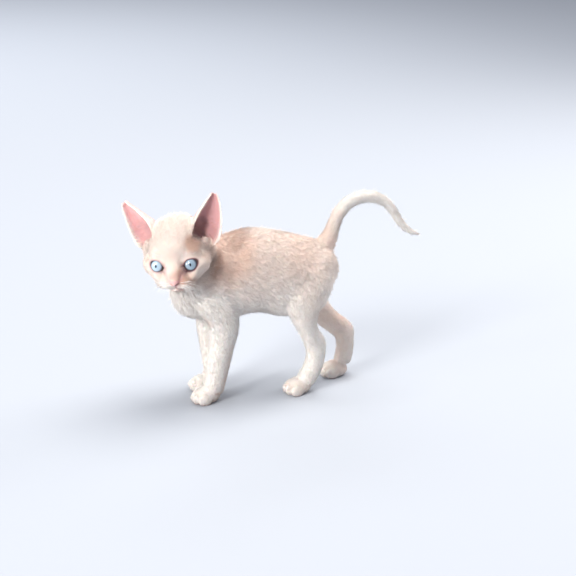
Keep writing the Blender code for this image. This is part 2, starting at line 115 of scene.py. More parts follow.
RIGHT_HINDLEG = (
    (25, 12, 126, 17.5, 11.0),
    (24, 16, 112, 20.0, 13.0),
    (23.5, 19, 98, 19.6, 12.8),
    (25, 21, 85, 17.8, 11.8),
    (30, 21.5, 73, 14.4, 10.8),
    (40, 20, 62, 11.2, 9.4),
    (50, 18.5, 52.5, 10.2, 8.6),
    (59.5, 17.4, 44.5, 10.4, 8.2),
    (61.2, 17, 34, 8.8, 7.8),
    (60.8, 16.6, 24, 8.4, 7.8),
    (58, 16.4, 13, 8.6, 8.6),
)
NECK = (
    (-58, 0, 122, 28.0, 25.0),
    (-74, 0, 131, 25.0, 23.0),
    (-88, 1, 138, 21.5, 20.0),
    (-99, -4, 143, 19.0, 18.0),
)
TAIL = (
    (31, 0, 131, 12.0, 11.0),
    (39.0, 0, 143, 8.8, 8.6),
    (43.2, 0.4, 153.5, 7.3, 7.3),
    (47.6, 0.8, 163, 7.1, 7.1),
    (54, 1.2, 170.8, 7.0, 7.0),
    (62, 1.6, 175.9, 7.0, 7.0),
    (71, 2.0, 178.1, 6.9, 6.9),
    (80, 2.2, 178.0, 6.6, 6.6),
    (88, 2.2, 175.2, 6.1, 6.1),
    (95.5, 2.0, 170.4, 5.5, 5.5),
    (101.5, 1.6, 163, 5.1, 5.1),
    (106.8, 1.0, 154.4, 4.8, 4.8),
    (113, 0.4, 146.8, 4.4, 4.4),
    (119.5, 0, 142.0, 3.2, 3.2),
    (127.5, -0.4, 139.2, 1.0, 1.0),
)

# Rounded masses of the trunk: middle, half sizes
BODY_MASSES = (
    ((-87, 0, 105), (23.5, 21, 29)),
    ((-81, -12, 112), (20, 14, 27)),
    ((-81, 12, 112), (20, 14, 27)),
    ((-69, -17, 120), (19, 12.5, 27)),
    ((-69, 17, 120), (19, 12.5, 27)),
    ((27.5, -11, 117), (18, 12, 20)),
    ((27.5, 11, 117), (18, 12, 20)),
)

# Paws: middle of the sole, heading from -X towards -Y in degrees
PAWS = {
    "forepaw_left": ((-80.5, -15), 8),
    "forepaw_right": ((-76.5, 15), 0),
    "hindpaw_left": ((6.5, -16), 6),
    "hindpaw_right": ((51.5, 16.2), -4),
}
PALM, PALM_HEIGHT = (11.8, 10.0, 8.6), 6.8
TOE, TOE_HEIGHT = (7.0, 3.7, 5.9), 4.7
TOE_PLACES = ((5.0, -8.4), (8.8, -3.1), (8.8, 3.1), (5.0, 8.4))

# Head: middle of the skull, then turn to the left, nose down and lean in degrees
HEAD_MIDDLE = (-105.5, -20, 144.5)
HEAD_TURN, HEAD_NOD, HEAD_LEAN = 68.5, 13.5, 5.0

# Masses of the head in its own frame of forward, left and up: skull, cheeks, brow and muzzle, and then
# the pairs at the side of the head: cheek, brow, ear root, temple, muzzle and lids
SKULL_MASSES = (
    ((-7, 0, 6.5), (26.5, 26.5, 26)),
    ((7, 0, -5), (18.5, 27.5, 16)),
    ((8, 0, -14.5), (16, 17, 9)),
    ((7, 0, 10), (14.5, 18, 13)),
    ((15, 0, 0), (8.5, 11, 12)),
    ((19, 0, -6), (10.8, 7.6, 9)),
    ((16.2, 0, -12.8), (12.4, 16.5, 11.0)),
)
PAIRED_SKULL_MASSES = (
    ((9, 17, -4), (13, 13.4, 12)),
    ((8.5, 12, 6), (11, 12, 10)),
    ((-6, 21, 8), (12, 10, 11)),
    ((8.5, 14.5, 2), (11, 11, 9)),
    ((14.5, 12, -10.5), (11.5, 10.8, 8.5)),
    ((-6, 22.5, -1), (10, 10.5, 10)),
    ((15.2, 14.4, -2.0), (9.9, 9.9, 9.9)),
)
NOSE_MASS = ((28.5, 0, -13.5), (4.3, 4.9, 4.1))
RIGHT_JOWL = ((14.5, -13.8, -17.3), (9.5, 6.6, 8.5))
CHIN_MASS = ((21.4, 0, -21.2), (7.0, 7.4, 5.3))
LIP_MASS = ((22.2, 7.2, -16.4), (8.3, 8.2, 6.3))

# The soft lobe before the ear's canal; the pocket by the ear's root, pink skin with painted shade; and the canal
# and the folds inside the ear, painted shade in a hollow and creases
TRAGUS = ((-3.5, 24.5, 8.0), (4.0, 5.4, 5.2))
EAR_POCKET = ((-9, 18, 14), (9, 9, 10), 1)
EAR_CANAL = ((-14, 24.5, 20.0), (12, 9.0, 10.0))
EAR_FOLD_SHADES = (
    ((-9.5, 28.3, 12.5), (-7.5, 30.4, 11.0), (-4.7, 31.9, 10.2)),
    ((-9.5, 38.5, 27.0), (-8.0, 39.6, 26.4), (-6.0, 40.8, 25.6)),
)

# Eyes: middle, radius, thickness of the lid, and the almond opening
EYE_MIDDLE, EYE_RADIUS, LID = (15.2, 14.4, -2.0), 8.2, 1.0
EYE_OUTWARD, EYE_UPWARD, EYE_SLANT = 10, 20, 28
EYE_OPENING = (6.8, 4.9)
# How far towards the nose the opening lies from the middle of the iris: the right eye's and the left's
EYE_INWARD = {-1: 0.2, 1: 0.8}

# Ears from root to tip, the right one as mirrored to the left: front edge, outer edge, depth and wall. The
# right ear leans further outwards.
EAR_SECTIONS = {
    "left": (
        ((3, 12.5, 17), (2, 31, 4), 18.0, 2.2),
        ((-1, 16.5, 26), (0, 39.5, 11), 16.0, 2.0),
        ((-6, 22.0, 35), (-4, 42.6, 23), 12.0, 1.8),
        ((-10.5, 28.8, 43.5), (-9, 43.0, 37.4), 7.5, 1.8),
        ((-12.3, 32.2, 47.4), (-12.0, 41.8, 45.6), 5.0, 1.8),
        ((-13.5, 34.7, 50.2), (-13.3, 39.6, 49.5), 3.4, 1.7),
    ),
    "right": (
        ((5.0, 17.9, 19.1), (-0.5, 29.3, 1.6), 18.0, 2.2),
        ((0.5, 19.6, 26.0), (-5.0, 37.5, 6.5), 16.0, 2.0),
        ((-7.0, 24.7, 30.8), (-10.5, 43.1, 17.9), 12.0, 1.8),
        ((-15.0, 33.8, 36.3), (-17.0, 47.3, 30.1), 7.5, 1.8),
        ((-18.7, 40.3, 40.1), (-20.0, 48.9, 36.2), 5.0, 1.8),
        ((-20.7, 44.4, 42.9), (-21.2, 48.5, 40.3), 3.4, 1.7),
    ),
}
EAR_SKEW = 0.5
EAR_SIDES = 40
CUP_FLOOR, CUP_MOUTH, CUP_FLARE = 1, (0.8, 0.1), 0.4
EAR_CUT_NORMAL, EAR_CUT_REACH = (-0.25, 0.63, 0.74), 30.0

# The side of the head that each ear is on, 1 for its left
EARS = {"left": 1, "right": -1}

# Lines pressed into the left half of the face as seen from in front, and mirrored: points of left and up,
# half width, depth, how pink they are, and how dark, which is painted shade in the crease. Philtrum, mouth,
# nostril and the fold by the nose.
PRESSED_LINES = (
    (((0, -16.0), (0, -17.8), (0, -19.8)), 0.42, 0.8, 0.7, 0.5),
    (((0, -19.8), (3, -21.1), (6.5, -21.6), (10.5, -20.6), (13.2, -18.4)), 0.6, 1.1, 0.5, 0.4),
    (((1.5, -14.5), (2.5, -13.9), (3.8, -13.6)), 0.5, 1.3, 0.8, 0.7),
    (((9.8, -0.5), (7.8, -3.5), (6.3, -8.0), (4.6, -12.0)), 1.2, 0.5, 0.35, 0.22),
)


def smooth(low, high, value):
    """A soft step from 0 at low to 1 at high, whichever of the two is larger."""
    t = np.clip((value - low) / (high - low), 0, 1)
    return t * t * (3 - 2 * t)


def head_frame():
    """The matrix that carries (forward, left, up) on the head to the world."""
    turn = Matrix.Rotation(math.radians(HEAD_TURN + 180), 4, "Z")
    nod = Matrix.Rotation(math.radians(HEAD_NOD), 4, "Y")
    lean = Matrix.Rotation(math.radians(HEAD_LEAN), 4, "X")
    return Matrix.Translation(HEAD_MIDDLE) @ turn @ nod @ lean


def mirrored(point, side):
    return Vector((point[0], point[1] * side, point[2]))


def eye_frame(side, tilt=EYE_SLANT):
    """The matrix at the middle of an eye whose X leaves through the opening and whose Y is its width."""
    outward = Matrix.Rotation(math.radians(EYE_OUTWARD), 4, "Z")
    upward = Matrix.Rotation(math.radians(-EYE_UPWARD), 4, "Y")
    slant = Matrix.Rotation(math.radians(tilt), 4, "X")
    mirror = Matrix.Diagonal((1, side, 1, 1))
    return head_frame() @ mirror @ Matrix.Translation(EYE_MIDDLE) @ outward @ upward @ slant


def ear_frame(name):
    """The matrix that carries the sections of an ear to the head's frame."""
    return Matrix.Diagonal((1, EARS[name], 1, 1))


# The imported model's frame is the drawing's frame moved in the level, found from one eye, which both have
low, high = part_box("eye_left")
SHIFT = (low + high) / 2 - head_frame() @ Vector(EYE_MIDDLE) * MM


def carried(matrix, points):
    """Points, as rows, carried by a matrix."""
    m = np.array(matrix)
    return points @ m[:3, :3].T + m[:3, 3]


def row_points(points):
    """Points in millimetres of the drawing's frame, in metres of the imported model's frame."""
    return np.asarray(points) * MM + np.array(SHIFT)


def add_ellipsoid(bm, middle, half_sizes, place=Matrix(), segments=32):
    matrix = place @ Matrix.Translation(middle) @ Matrix.Diagonal((*half_sizes, 1))
    bmesh.ops.create_uvsphere(bm, u_segments=segments, v_segments=segments // 2, radius=1, matrix=matrix)


def eased(stations, steps=4):
    """The stations with more set between them on a Catmull-Rom curve."""
    rows = [Vector(s) for s in stations]
    rows = [rows[0], *rows, rows[-1]]
    found = []
    for a, b, c, d in zip(rows, rows[1:], rows[2:], rows[3:]):
        for k in range(steps):
            t = k / steps
            bend = 2 * a - 5 * b + 4 * c - d
            twist = 3 * b - a - 3 * c + d
            found.append(0.5 * (2 * b + (c - a) * t + bend * t**2 + twist * t**3))
    return [*found, rows[-1]]


def add_loft(bm, rings, place=Matrix()):
    """Joins rings of points, all with the same number of points, into a closed tube."""
    made = [[bm.verts.new(place @ p) for p in ring] for ring in rings]
    count = len(made[0])
    for near, far in zip(made, made[1:]):
        for k in range(count):
            n = (k + 1) % count
            bm.faces.new((near[k], near[n], far[n], far[k]))
    bm.faces.new(list(reversed(made[0])))
    bm.faces.new(made[-1])


def round_ring(middle, across, along, sides=RING_SIDES):
    angles = [2 * math.pi * n / sides for n in range(sides)]
    return [middle + across * math.cos(a) + along * math.sin(a) for a in angles]


def courses(path):
    """The direction of a path of stations at each of them."""
    middles = [Vector(s[:3]) for s in path]
    last = len(path) - 1
    return [(middles[min(k + 1, last)] - middles[max(k - 1, 0)]).normalized() for k in range(len(path))]


def add_limb(bm, stations):
    """A tube through stations of middle, half depth and half width, its rings square to its course."""
    path = eased(stations)
    rings = []
    for station, course in zip(path, courses(path)):
        side = (Vector((0, 1, 0)) - course * course.y).normalized()
        rings.append(round_ring(Vector(station[:3]), side.cross(course) * station[3], side * station[4]))
    add_loft(bm, rings)


def add_trunk(bm):
    rings = []
    for x, top, bottom, half_width in eased(TRUNK):
        middle = Vector((x, 0, (top + bottom) / 2))
        across = Vector((0, half_width, 0))
        rings.append(round_ring(middle, across, Vector((0, 0, (top - bottom) / 2))))
    add_loft(bm, rings)


def add_paw(bm, sole, heading):
    """A palm and four toes that point along the heading."""
    place = Matrix.Translation((*sole, 0)) @ Matrix.Rotation(math.radians(heading + 180), 4, "Z")
    add_ellipsoid(bm, (0, 0, PALM_HEIGHT), PALM, place)
    for forward, side in TOE_PLACES:
        add_ellipsoid(bm, (forward, side, TOE_HEIGHT), TOE, place)


def ear_rows(name):
    """Each section of the ear: front edge, outer edge, depth as a vector, and wall."""
    path = eased([(*front, *outer, *sizes) for front, outer, *sizes in EAR_SECTIONS[name]], 4)
    rows = []
    for k, row in enumerate(path):
        front, outer = Vector(row[:3]), Vector(row[3:6])
        near, far = path[max(k - 1, 0)], path[min(k + 1, len(path) - 1)]
        rise = Vector(far[:3]) + Vector(far[3:6]) - Vector(near[:3]) - Vector(near[3:6])
        back = rise.cross(outer - front).normalized() - (outer - front).normalized() * EAR_SKEW
        rows.append((front, outer, back * row[6], row[7]))
    return rows


def ear_ring(front, outer, back, wall):
    """A crescent: the back of the ear, and the inside of its cup a wall's thickness from it."""
    middle, across = (front + outer) / 2, (outer - front) / 2
    count = EAR_SIDES // 2
    ring = []
    for k in range(2 * count):
        inner = k >= count
        angle = math.pi * (2 * count - 1 - k if inner else k) / (count - 1)
        width = max(1 - wall / across.length, 0.3) if inner else 1
        depth = max(1 - wall / back.length, 0.15) if inner else 1
        ring.append(middle - across * (width * math.cos(angle)) + back * (depth * math.sin(angle)))
    return ring


def cup_ring(front, outer, back, wall):
    """The hollow of the ear's cup, from a little ahead of its rim to the inside of its back."""
    middle, across = (front + outer) / 2, (outer - front) / 2
    width, depth = 1 - wall / across.length, 1 - wall / back.length
    angles = [math.pi * k / EAR_SIDES for k in range(EAR_SIDES + 1)]
    ring = [middle - across * (width * math.cos(a)) + back * (depth * math.sin(a)) for a in angles]
    edges = [across * width - back * CUP_MOUTH[1], -across * (width + CUP_FLARE) - back * CUP_MOUTH[0]]
    return [*ring, *[middle + edge for edge in edges]]


def new_object(name, bm):
    """A mesh object from a bmesh, whose millimetres are scaled to metres, still in the drawing's frame."""
    bmesh.ops.recalc_face_normals(bm, faces=bm.faces)
    bmesh.ops.scale(bm, vec=(MM, MM, MM), verts=bm.verts)
    mesh = bpy.data.meshes.new(name)
    bm.to_mesh(mesh)
    bm.free()
    obj = bpy.data.objects.new(name, mesh)
    bpy.context.scene.collection.objects.link(obj)
    return obj


def applied(obj):
    """Turns the modifiers of the object into its mesh."""
    graph = bpy.context.evaluated_depsgraph_get()
    mesh = bpy.data.meshes.new_from_object(obj.evaluated_get(graph))
    obj.modifiers.clear()
    obj.data = mesh
    return obj


def fused(obj, grid, passes, growth=0):
    """The solids in the object joined on a grid, softened, and grown to make up for what that takes off."""
    remesh = obj.modifiers.new("fuse", "REMESH")
    remesh.mode = "VOXEL"
    remesh.voxel_size = grid * MM
    soften = obj.modifiers.new("soften", "SMOOTH")
    soften.factor = 0.5
    soften.iterations = passes
    grow = obj.modifiers.new("grow", "DISPLACE")
    grow.strength = growth * MM
    grow.mid_level = 0
    return applied(obj)


def points_of(mesh):
    places = np.empty(3 * len(mesh.vertices))
    mesh.vertices.foreach_get("co", places)
    return places.reshape(-1, 3)


def normals_of(mesh):
    normals = np.empty(3 * len(mesh.vertices))
    mesh.vertices.foreach_get("normal", normals)
    return normals.reshape(-1, 3)


def fused_form():
    """The whole animal as one form out to the tips of its coat."""
    place = head_frame()
    broad = bmesh.new()
    add_trunk(broad)
    for stations in (LEFT_FORELEG, RIGHT_FORELEG, LEFT_HINDLEG, RIGHT_HINDLEG, NECK):
        add_limb(broad, stations)
    for middle, half_sizes in BODY_MASSES:
        add_ellipsoid(broad, middle, half_sizes)
    for middle, half_sizes in (*SKULL_MASSES, RIGHT_JOWL):
        add_ellipsoid(broad, middle, half_sizes, place)
    for side in (-1, 1):
        for middle, half_sizes in PAIRED_SKULL_MASSES:
            add_ellipsoid(broad, mirrored(middle, side), half_sizes, place)
    form = fused(new_object("skin", broad), BROAD_GRID, BROAD_PASSES, BROAD_GROWTH)

    for name in EARS:
        hollow = bmesh.new()
        add_loft(hollow, [cup_ring(*row) for row in ear_rows(name)[CUP_FLOOR:]], place @ ear_frame(name))
        cutter = new_object("hollow", hollow)
        cut = form.modifiers.new("cut", "BOOLEAN")
        cut.operation = "DIFFERENCE"
        cut.object = cutter
        applied(form)
        bpy.data.objects.remove(cutter)

    fine = bmesh.new()
    add_limb(fine, TAIL)
    for sole, heading in PAWS.values():
        add_paw(fine, sole, heading)
    for middle, half_sizes in (NOSE_MASS, CHIN_MASS):
        add_ellipsoid(fine, middle, half_sizes, place)
    for side in (-1, 1):
        add_ellipsoid(fine, mirrored(LIP_MASS[0], side), LIP_MASS[1], place)
        add_ellipsoid(fine, mirrored(EYE_MIDDLE, side), (EYE_RADIUS + LID,) * 3, place)
    for name in EARS:
        add_ellipsoid(fine, *TRAGUS, place @ ear_frame(name))
        add_loft(fine, [ear_ring(*row) for row in ear_rows(name)], place @ ear_frame(name))
    bmesh.ops.recalc_face_normals(fine, faces=fine.faces)
    bmesh.ops.scale(fine, vec=(MM, MM, MM), verts=fine.verts)
    fine.from_mesh(form.data)
    fine.to_mesh(form.data)
    fine.free()
    return fused(form, FINE_GRID, FINE_PASSES)


def line_reach(points, path):
    """How far each point is from a line."""
    reach = np.full(len(points), np.inf)
    for start, end in zip(path, path[1:]):
        along = np.clip((points - start) @ (end - start) / sum((end - start) ** 2), 0, 1)
        gap = points - start - along[:, None] * (end - start)
        reach = np.minimum(reach, np.linalg.norm(gap, axis=1))
    return reach


class Skin:
    """The skin's points in the drawing's frame, the head's frame and the ears' frames, and its regions."""

    def __init__(self, points, normals):
        self.points, self.normals = points, normals
        self.head = carried(head_frame().inverted(), points)
        turn = np.array(head_frame().inverted())[:3, :3]
        self.head_normals = normals @ turn.T
        self.ears = {n: carried(ear_frame(n).inverted(), self.head) for n in EARS}


def ear_place(skin):
    """Where each point lies on an ear: height above its root, then in the section nearest to it the place
    across, from -1 to 1, the depth behind the rim, from 0 to 1, and how much it faces into the cup. The
    height is 0 off the ears."""
    normal = np.array(EAR_CUT_NORMAL) / np.linalg.norm(EAR_CUT_NORMAL)
    up, across, depth, inside = np.zeros((4, len(skin.points)))
    for name, side in EARS.items():
        rows = ear_rows(name)
        middles = np.array([(r[0] + r[1]) / 2 for r in rows])
        frames = []
        for front, outer, back, _ in rows:
            along = (outer - front).cross(back).normalized()
            frames.append(np.linalg.inv(np.array([(outer - front) / 2, back, along]).T))
        frames = np.array(frames)
        backs = np.array([r[2].normalized() for r in rows])
        chosen = np.flatnonzero(np.linalg.norm(skin.head - np.array((-6, 30 * side, 28)), axis=1) < 38)
        q = skin.ears[name][chosen]
        facing = skin.head_normals[chosen] * (1, side, 1)
        places = np.einsum("rij,nrj->nri", frames, q[:, None, :] - middles[None, :, :])
        reach = np.hypot(places[..., 0], places[..., 1])
        near = np.argmin(np.abs(places[..., 2]) + 4 * np.maximum(0, reach - 1.2), axis=1)
        a, b, _ = places[np.arange(len(q)), near].T
        rise = q @ normal - EAR_CUT_REACH + 8
        here = (rise > 0) & (np.hypot(a, b) < 1.25) & (b > -0.35)
        chosen, rise, a, b, near = chosen[here], rise[here], a[here], b[here], near[here]
        up[chosen], across[chosen], depth[chosen] = rise, a, b
        inside[chosen] = -np.sum(facing[here] * backs[near], axis=1)
    return up, across, depth, inside


def in_cup(up, across, depth, inside):
    """From 0 to 1, how much a place on an ear belongs to the bare inside of its cup."""
    bare = smooth(1, 6, up) * smooth(-0.1, 0.3, inside)
    return bare * smooth(1.02, 0.9, np.hypot(across, depth)) * smooth(0.03, 0.16, depth)


def coat_depth(skin):
    """How far the skin lies inside the tips of the coat."""
    z = skin.points[:, 2]
    depth = np.full(len(z), 1.5)
    depth = depth * (0.55 + 0.45 * smooth(45, 90, z))
    depth = depth * (0.55 + 0.45 * smooth(6, 22, z))
    tail = smooth(46, 60, skin.points[:, 0]) * smooth(120, 140, z)
    depth = depth * (1 - 0.45 * tail * smooth(112, 127, skin.points[:, 0]))
    f = skin.head[:, 0]
    on_head = smooth(36, 29, np.linalg.norm(skin.head, axis=1))
    depth = depth * (1 - on_head) + on_head * (1.1 - 0.75 * smooth(2, 24, f))
    up, _, _, _ = ear_place(skin)
    return depth * (1 - 0.9 * smooth(0, 8, up))


def shape_skin(form):
    """Sinks the form by the depth of the coat, thins it, and works the lids, nose and mouth."""
    mesh = form.data
    points, normals = points_of(mesh) / MM, normals_of(mesh)
    skin = Skin(points, normals)
    points = points - normals * coat_depth(skin)[:, None]
    points[:, 2] = np.maximum(points[:, 2], 0)
    mesh.vertices.foreach_set("co", (points * MM).ravel())

    # The head keeps its faces when the skin is thinned
    group = form.vertex_groups.new(name="body")
    on_head = smooth(30, 48, np.linalg.norm(skin.head, axis=1))
    for step in range(1, 9):
        chosen = np.flatnonzero((on_head > (step - 1) / 8) & (on_head <= step / 8))
        group.add(chosen.tolist(), step / 8, "REPLACE")
    triangles = 2 * len(mesh.polygons)
    thin = form.modifiers.new("thin", "DECIMATE")
    thin.ratio = min(1, SKIN_TRIANGLES / triangles)
    thin.vertex_group = "body"
    thin.vertex_group_factor = 1
    applied(form)
    form.vertex_groups.clear()

    refine_face(form)
    points, normals = points_of(form.data) / MM, normals_of(form.data)
    points = work_face(points, normals)
    form.data.vertices.foreach_set("co", (points * MM).ravel())
    form.data.update()
    return form


def refine_face(form):
    """Splits the edges of the face, so that lids, nose and mouth can be worked finely."""
    bm = bmesh.new()
    bm.from_mesh(form.data)
    inverse = head_frame().inverted()
    chosen = []
    for edge in bm.edges:
        f, l, u = inverse @ (edge.verts[0].co / MM)
        if f > 9 and abs(l) < 25 and -26 < u < 8:
            chosen.append(edge)
    made = bmesh.ops.subdivide_edges(bm, edges=chosen, cuts=1, smooth=0.5)
    bmesh.ops.triangulate(bm, faces=bm.faces)
    verts = [v for v in made["geom"] if isinstance(v, bmesh.types.BMVert)]
    bmesh.ops.smooth_vert(bm, verts=verts, factor=0.4, use_axis_x=True, use_axis_y=True, use_axis_z=True)
    bm.to_mesh(form.data)
    bm.free()


def almond(points, side):
    """Where a point lies from an eye: its reach from the middle and 1 on the edge of the opening."""
    q = carried(eye_frame(side).inverted(), points)
    reach = np.linalg.norm(q, axis=1)
    y = (q[:, 1] / reach * EYE_RADIUS + EYE_INWARD[side]) / EYE_OPENING[0]
    z = q[:, 2] / reach * EYE_RADIUS / EYE_OPENING[1]
    angle = np.arctan2(z, y)
    edge = np.hypot(y, z / (1 - 0.18 * np.abs(np.cos(angle))))
    return q, reach, np.where(q[:, 0] > 0, edge, 9)


def work_face(points, normals):
    for side in (-1, 1):
        q, reach, edge = almond(points, side)
        near = (reach < EYE_RADIUS + 6) & (edge < 1.5)
        lid = EYE_RADIUS + 0.35 + 0.6 * smooth(1.0, 1.35, edge)
        inner = EYE_RADIUS - 0.9
        target = inner + (lid - inner) * smooth(0.90, 1.02, edge)
        amount = np.where(near, smooth(1.5, 1.15, edge), 0)
        factor = 1 + amount * (target / reach - 1)
        points = carried(eye_frame(side), q * factor[:, None])
    sunk = np.zeros(len(points))
    skin = Skin(points, normals)
    for path, half_width, depth, _, _ in PRESSED_LINES:
        sunk = np.maximum(sunk, depth * line_touch(skin, path, half_width))
    return points - normals * sunk[:, None]


def line_touch(skin, path, half_width):
    """From 0 to 1, how much a line on the front of the face and its mirror image touch each point."""
    line = np.array([p[:2] for p in eased([(*p, 0) for p in path], 5)])
    touch = np.zeros(len(skin.points))
    ahead = smooth(10, 16, skin.head[:, 0]) * smooth(-0.1, 0.25, skin.head_normals[:, 0])
    for side in (-1, 1):
        reach = line_reach(skin.head[:, 1:] * (side, 1), line)
        touch = np.maximum(touch, ahead * np.exp(-((reach / half_width) ** 2)))
    return touch


def patches(points, spots):
    """The soft sum of ellipsoidal spots: middle, half sizes and amount."""
    total = np.zeros(len(points))
    for middle, half_sizes, amount in spots:
        reach = np.linalg.norm((points - np.array(middle)) / np.array(half_sizes), axis=1)
        total += amount * smooth(1.35, 0.45, reach)
    return total


# Warmer, apricot parts of the coat: middle, half sizes and amount
WARM_SPOTS = (
    ((-66, -8, 138), (30, 40, 32), 0.8),
    ((-30, 0, 128), (50, 40, 42), 0.6),
    ((18, 0, 122), (36, 36, 34), 0.55),
    ((42, 0, 150), (16, 12, 26), 0.3),
    ((44, 16, 72), (26, 16, 30), 0.5),
    ((14, -18, 88), (16, 16, 22), 0.35),
    ((58, 17, 36), (14, 12, 32), 0.4),
    ((6, -16, 5), (14, 12, 9), 0.45),
    ((52, 16, 6), (14, 12, 9), 0.5),
    ((-76, -15, 4), (14, 12, 8), 0.35),
    ((-74, 15, 4), (14, 12, 8), 0.45),
)


# The temple's brownish coat, partly a painted shadow under the ear; then painted shade on the coat of head and
# neck: the temple, the shaded left side of cheek, muzzle and nose, and the head's shadow on the neck; then the
# warmer tan of the face
SHADED_TEMPLE = ((11.5, 17, 15), (9, 8, 8))
HEAD_PAINTED_SHADES = (
    ((11, 18.5, 15.5), (10, 10, 8), 0.56),
    ((8, 23, 9), (12, 10, 12), 0.2),
    ((-6, 31, -6), (8, 7, 14), 0.6),
    ((4, 29, -9), (14, 9, 14), 0.36),
    ((20, 12, -16), (9, 8, 8), 0.5),
    ((26, 6.5, -8.5), (5, 3.6, 8), 0.65),
    ((27, 9, -15.5), (7, 6, 6), 0.5),
)
NECK_PAINTED_SHADES = (
    ((-76, -25, 138), (9, 12, 16), 0.75),
    ((-80, -25, 119), (8, 10, 12), 0.36),
    ((-68, -27, 128), (10, 12, 14), 0.18),
)
WARM_FACE = (
    ((21, 10, -15), (9, 8, 9), 0.5),
    ((26, 6, -8), (6, 5, 9), 0.7),
    ((29.5, 0, -8), (7, 4.5, 6), 0.55),
    ((22, 0, 4), (8, 6, 10), 0.12),
)


def marks(skin):
    """The markings, each from 0 to 1: warm tone of the coat, pink bare skin, and dark, which is the lids' dark
    edges and painted shade in creases, ear canals, the left ear's cup and under the jaw.
    """
    p, h = skin.points, skin.head
    up, across, cup, inside = ear_place(skin)
    bare = in_cup(up, across, cup, inside)
    bare *= 1 - 0.9 * smooth(-0.35, -0.8, across) * (1 - 0.45 * smooth(0.5, 0.9, across) * smooth(22, 12, up))
    for local in skin.ears.values():
        reach = np.linalg.norm((local - TRAGUS[0]) / np.array(TRAGUS[1]), axis=1)
        bare = bare * smooth(1.1, 1.4, reach)
    warm = np.clip(patches(p, WARM_SPOTS), 0, 1)
    on_head = smooth(37, 30, np.linalg.norm(h, axis=1))
    temple = smooth(1.3, 0.4, np.linalg.norm((h - np.array(SHADED_TEMPLE[0])) / SHADED_TEMPLE[1], axis=1))
    warm = warm * (1 - on_head) + on_head * np.clip(0.28 + 0.6 * temple + patches(h, WARM_FACE), 0, 1)
    pink = 0.95 * bare
    back_of_ear = smooth(3, 12, up) * smooth(0.2, -0.3, inside)
    pink = np.maximum(pink, 0.5 * back_of_ear)
    half = 5.0 * (1 - 0.78 * np.clip((-11.8 - h[:, 2]) / 6.6, 0, 1))
    nose = smooth(1.2, 0.85, np.abs(h[:, 1]) / half) * smooth(-9.8, -11.2, h[:, 2])
    nose *= smooth(-19.0, -18.0, h[:, 2]) * smooth(26.5, 28, h[:, 0])
    pink = np.maximum(pink, 0.85 * nose)
    pink = np.maximum(pink, 0.15 * smooth(9, 3, np.linalg.norm((h - np.array((30, 0, -9))) / (1, 0.8, 1), axis=1)))
    dark = np.zeros(len(h))
    for side in (-1, 1):
        q, reach, edge = almond(p, side)
        near = reach < EYE_RADIUS + 3
        rim = np.where(near, smooth(1.3, 1.08, edge), 0)
        pink = np.maximum(pink, 0.45 * rim)
        # The lids' edges are dark skin, darker round the left eye, partly painted shade there
        inner = smooth(1, 6, -q[:, 1]) if side > 0 else 0
        reach_out = 1.22 + 0.14 * inner if side > 0 else 1.16
        dark = np.maximum(dark, (1.0 if side > 0 else 0.45) * np.where(near, smooth(reach_out, 1.02, edge), 0))
    # Pink skin of lips and nose, and painted shade in the creases, darker on the left, shaded side
    for path, half_width, _, how_pink, how_dark in PRESSED_LINES:
        touch = line_touch(skin, path, 1.9 * half_width)
        pink = np.maximum(pink, how_pink * touch * np.where(h[:, 1] > -0.5, 1, 0.5))
        dark = np.maximum(dark, how_dark * touch * np.where(h[:, 1] > 0, 1, 0.5))
    # Painted shade: the ear canals, dark as hollows, the pocket's dark over its pink skin, and the folds' creases;
    # canal and pocket darker in the left ear, which lies in shade
    for name, depth in (("left", 0.62), ("right", 0.35)):
        local = skin.ears[name]
        canal = np.linalg.norm((local - EAR_CANAL[0]) / np.array(EAR_CANAL[1]), axis=1)
        canal += 0.22 * wobble(local, 11, 5)
        dark = np.maximum(dark, depth * smooth(1.6, 0.0, canal) * smooth(-0.1, 0.4, inside) * (up > 0))
        pocket = patches(local, (EAR_POCKET,)) * smooth(-0.3, 0.2, skin.head_normals[:, 0])
        pink = np.maximum(pink, 0.8 * pocket)
        dark = np.maximum(dark, 0.4 * depth * pocket)
        for path in EAR_FOLD_SHADES:
            fold = np.exp(-((line_reach(local, np.array(path)) / 0.7) ** 2))
            dark = np.maximum(dark, 0.6 * fold * (up > 0))
    # Painted shade over the left ear's cup, cast by its front rim
    left_ear_painted_shade = (h[:, 1] > 0) * bare * (0.32 + 0.12 * smooth(0.5, -0.5, across) * smooth(19, 9, up))
    dark = np.maximum(dark, left_ear_painted_shade)
    # Painted shade under the jaw, darker and warmer
    jaw_painted_shade = smooth(-21, -23.5, h[:, 2]) * smooth(4, 12, h[:, 0]) * smooth(0.1, -0.5, skin.head_normals[:, 2])
    dark = np.maximum(dark, 0.38 * jaw_painted_shade)
    warm = np.maximum(warm, 0.7 * jaw_painted_shade)
    sole = smooth(1.6, 0.4, p[:, 2])
    pink = np.maximum(pink, 0.9 * sole)
    return warm, pink, dark, nose


def tone_of(skin):
    """How light the coat is at each point, from 0 to 1: darker on the whole head, a painted shade against the
    strong light on the face, and darker still in the painted shade of head and neck.
    """
    on_head = smooth(37, 30, np.linalg.norm(skin.head, axis=1))
    up, _, _, _ = ear_place(skin)
    # Painted shade of temple, cheek, muzzle and nose, and of the neck behind the head
    shade = on_head * patches(skin.head, HEAD_PAINTED_SHADES) * (1 - smooth(0, 4, up))
    shade += (1 - on_head) * patches(skin.points, NECK_PAINTED_SHADES)
    return 0.89 - 0.4 * on_head - shade


def add_attribute(mesh, name, values):
    layer = mesh.attributes.new(name, "FLOAT", "POINT")
    layer.data.foreach_set("value", np.asarray(values, dtype=np.float32))


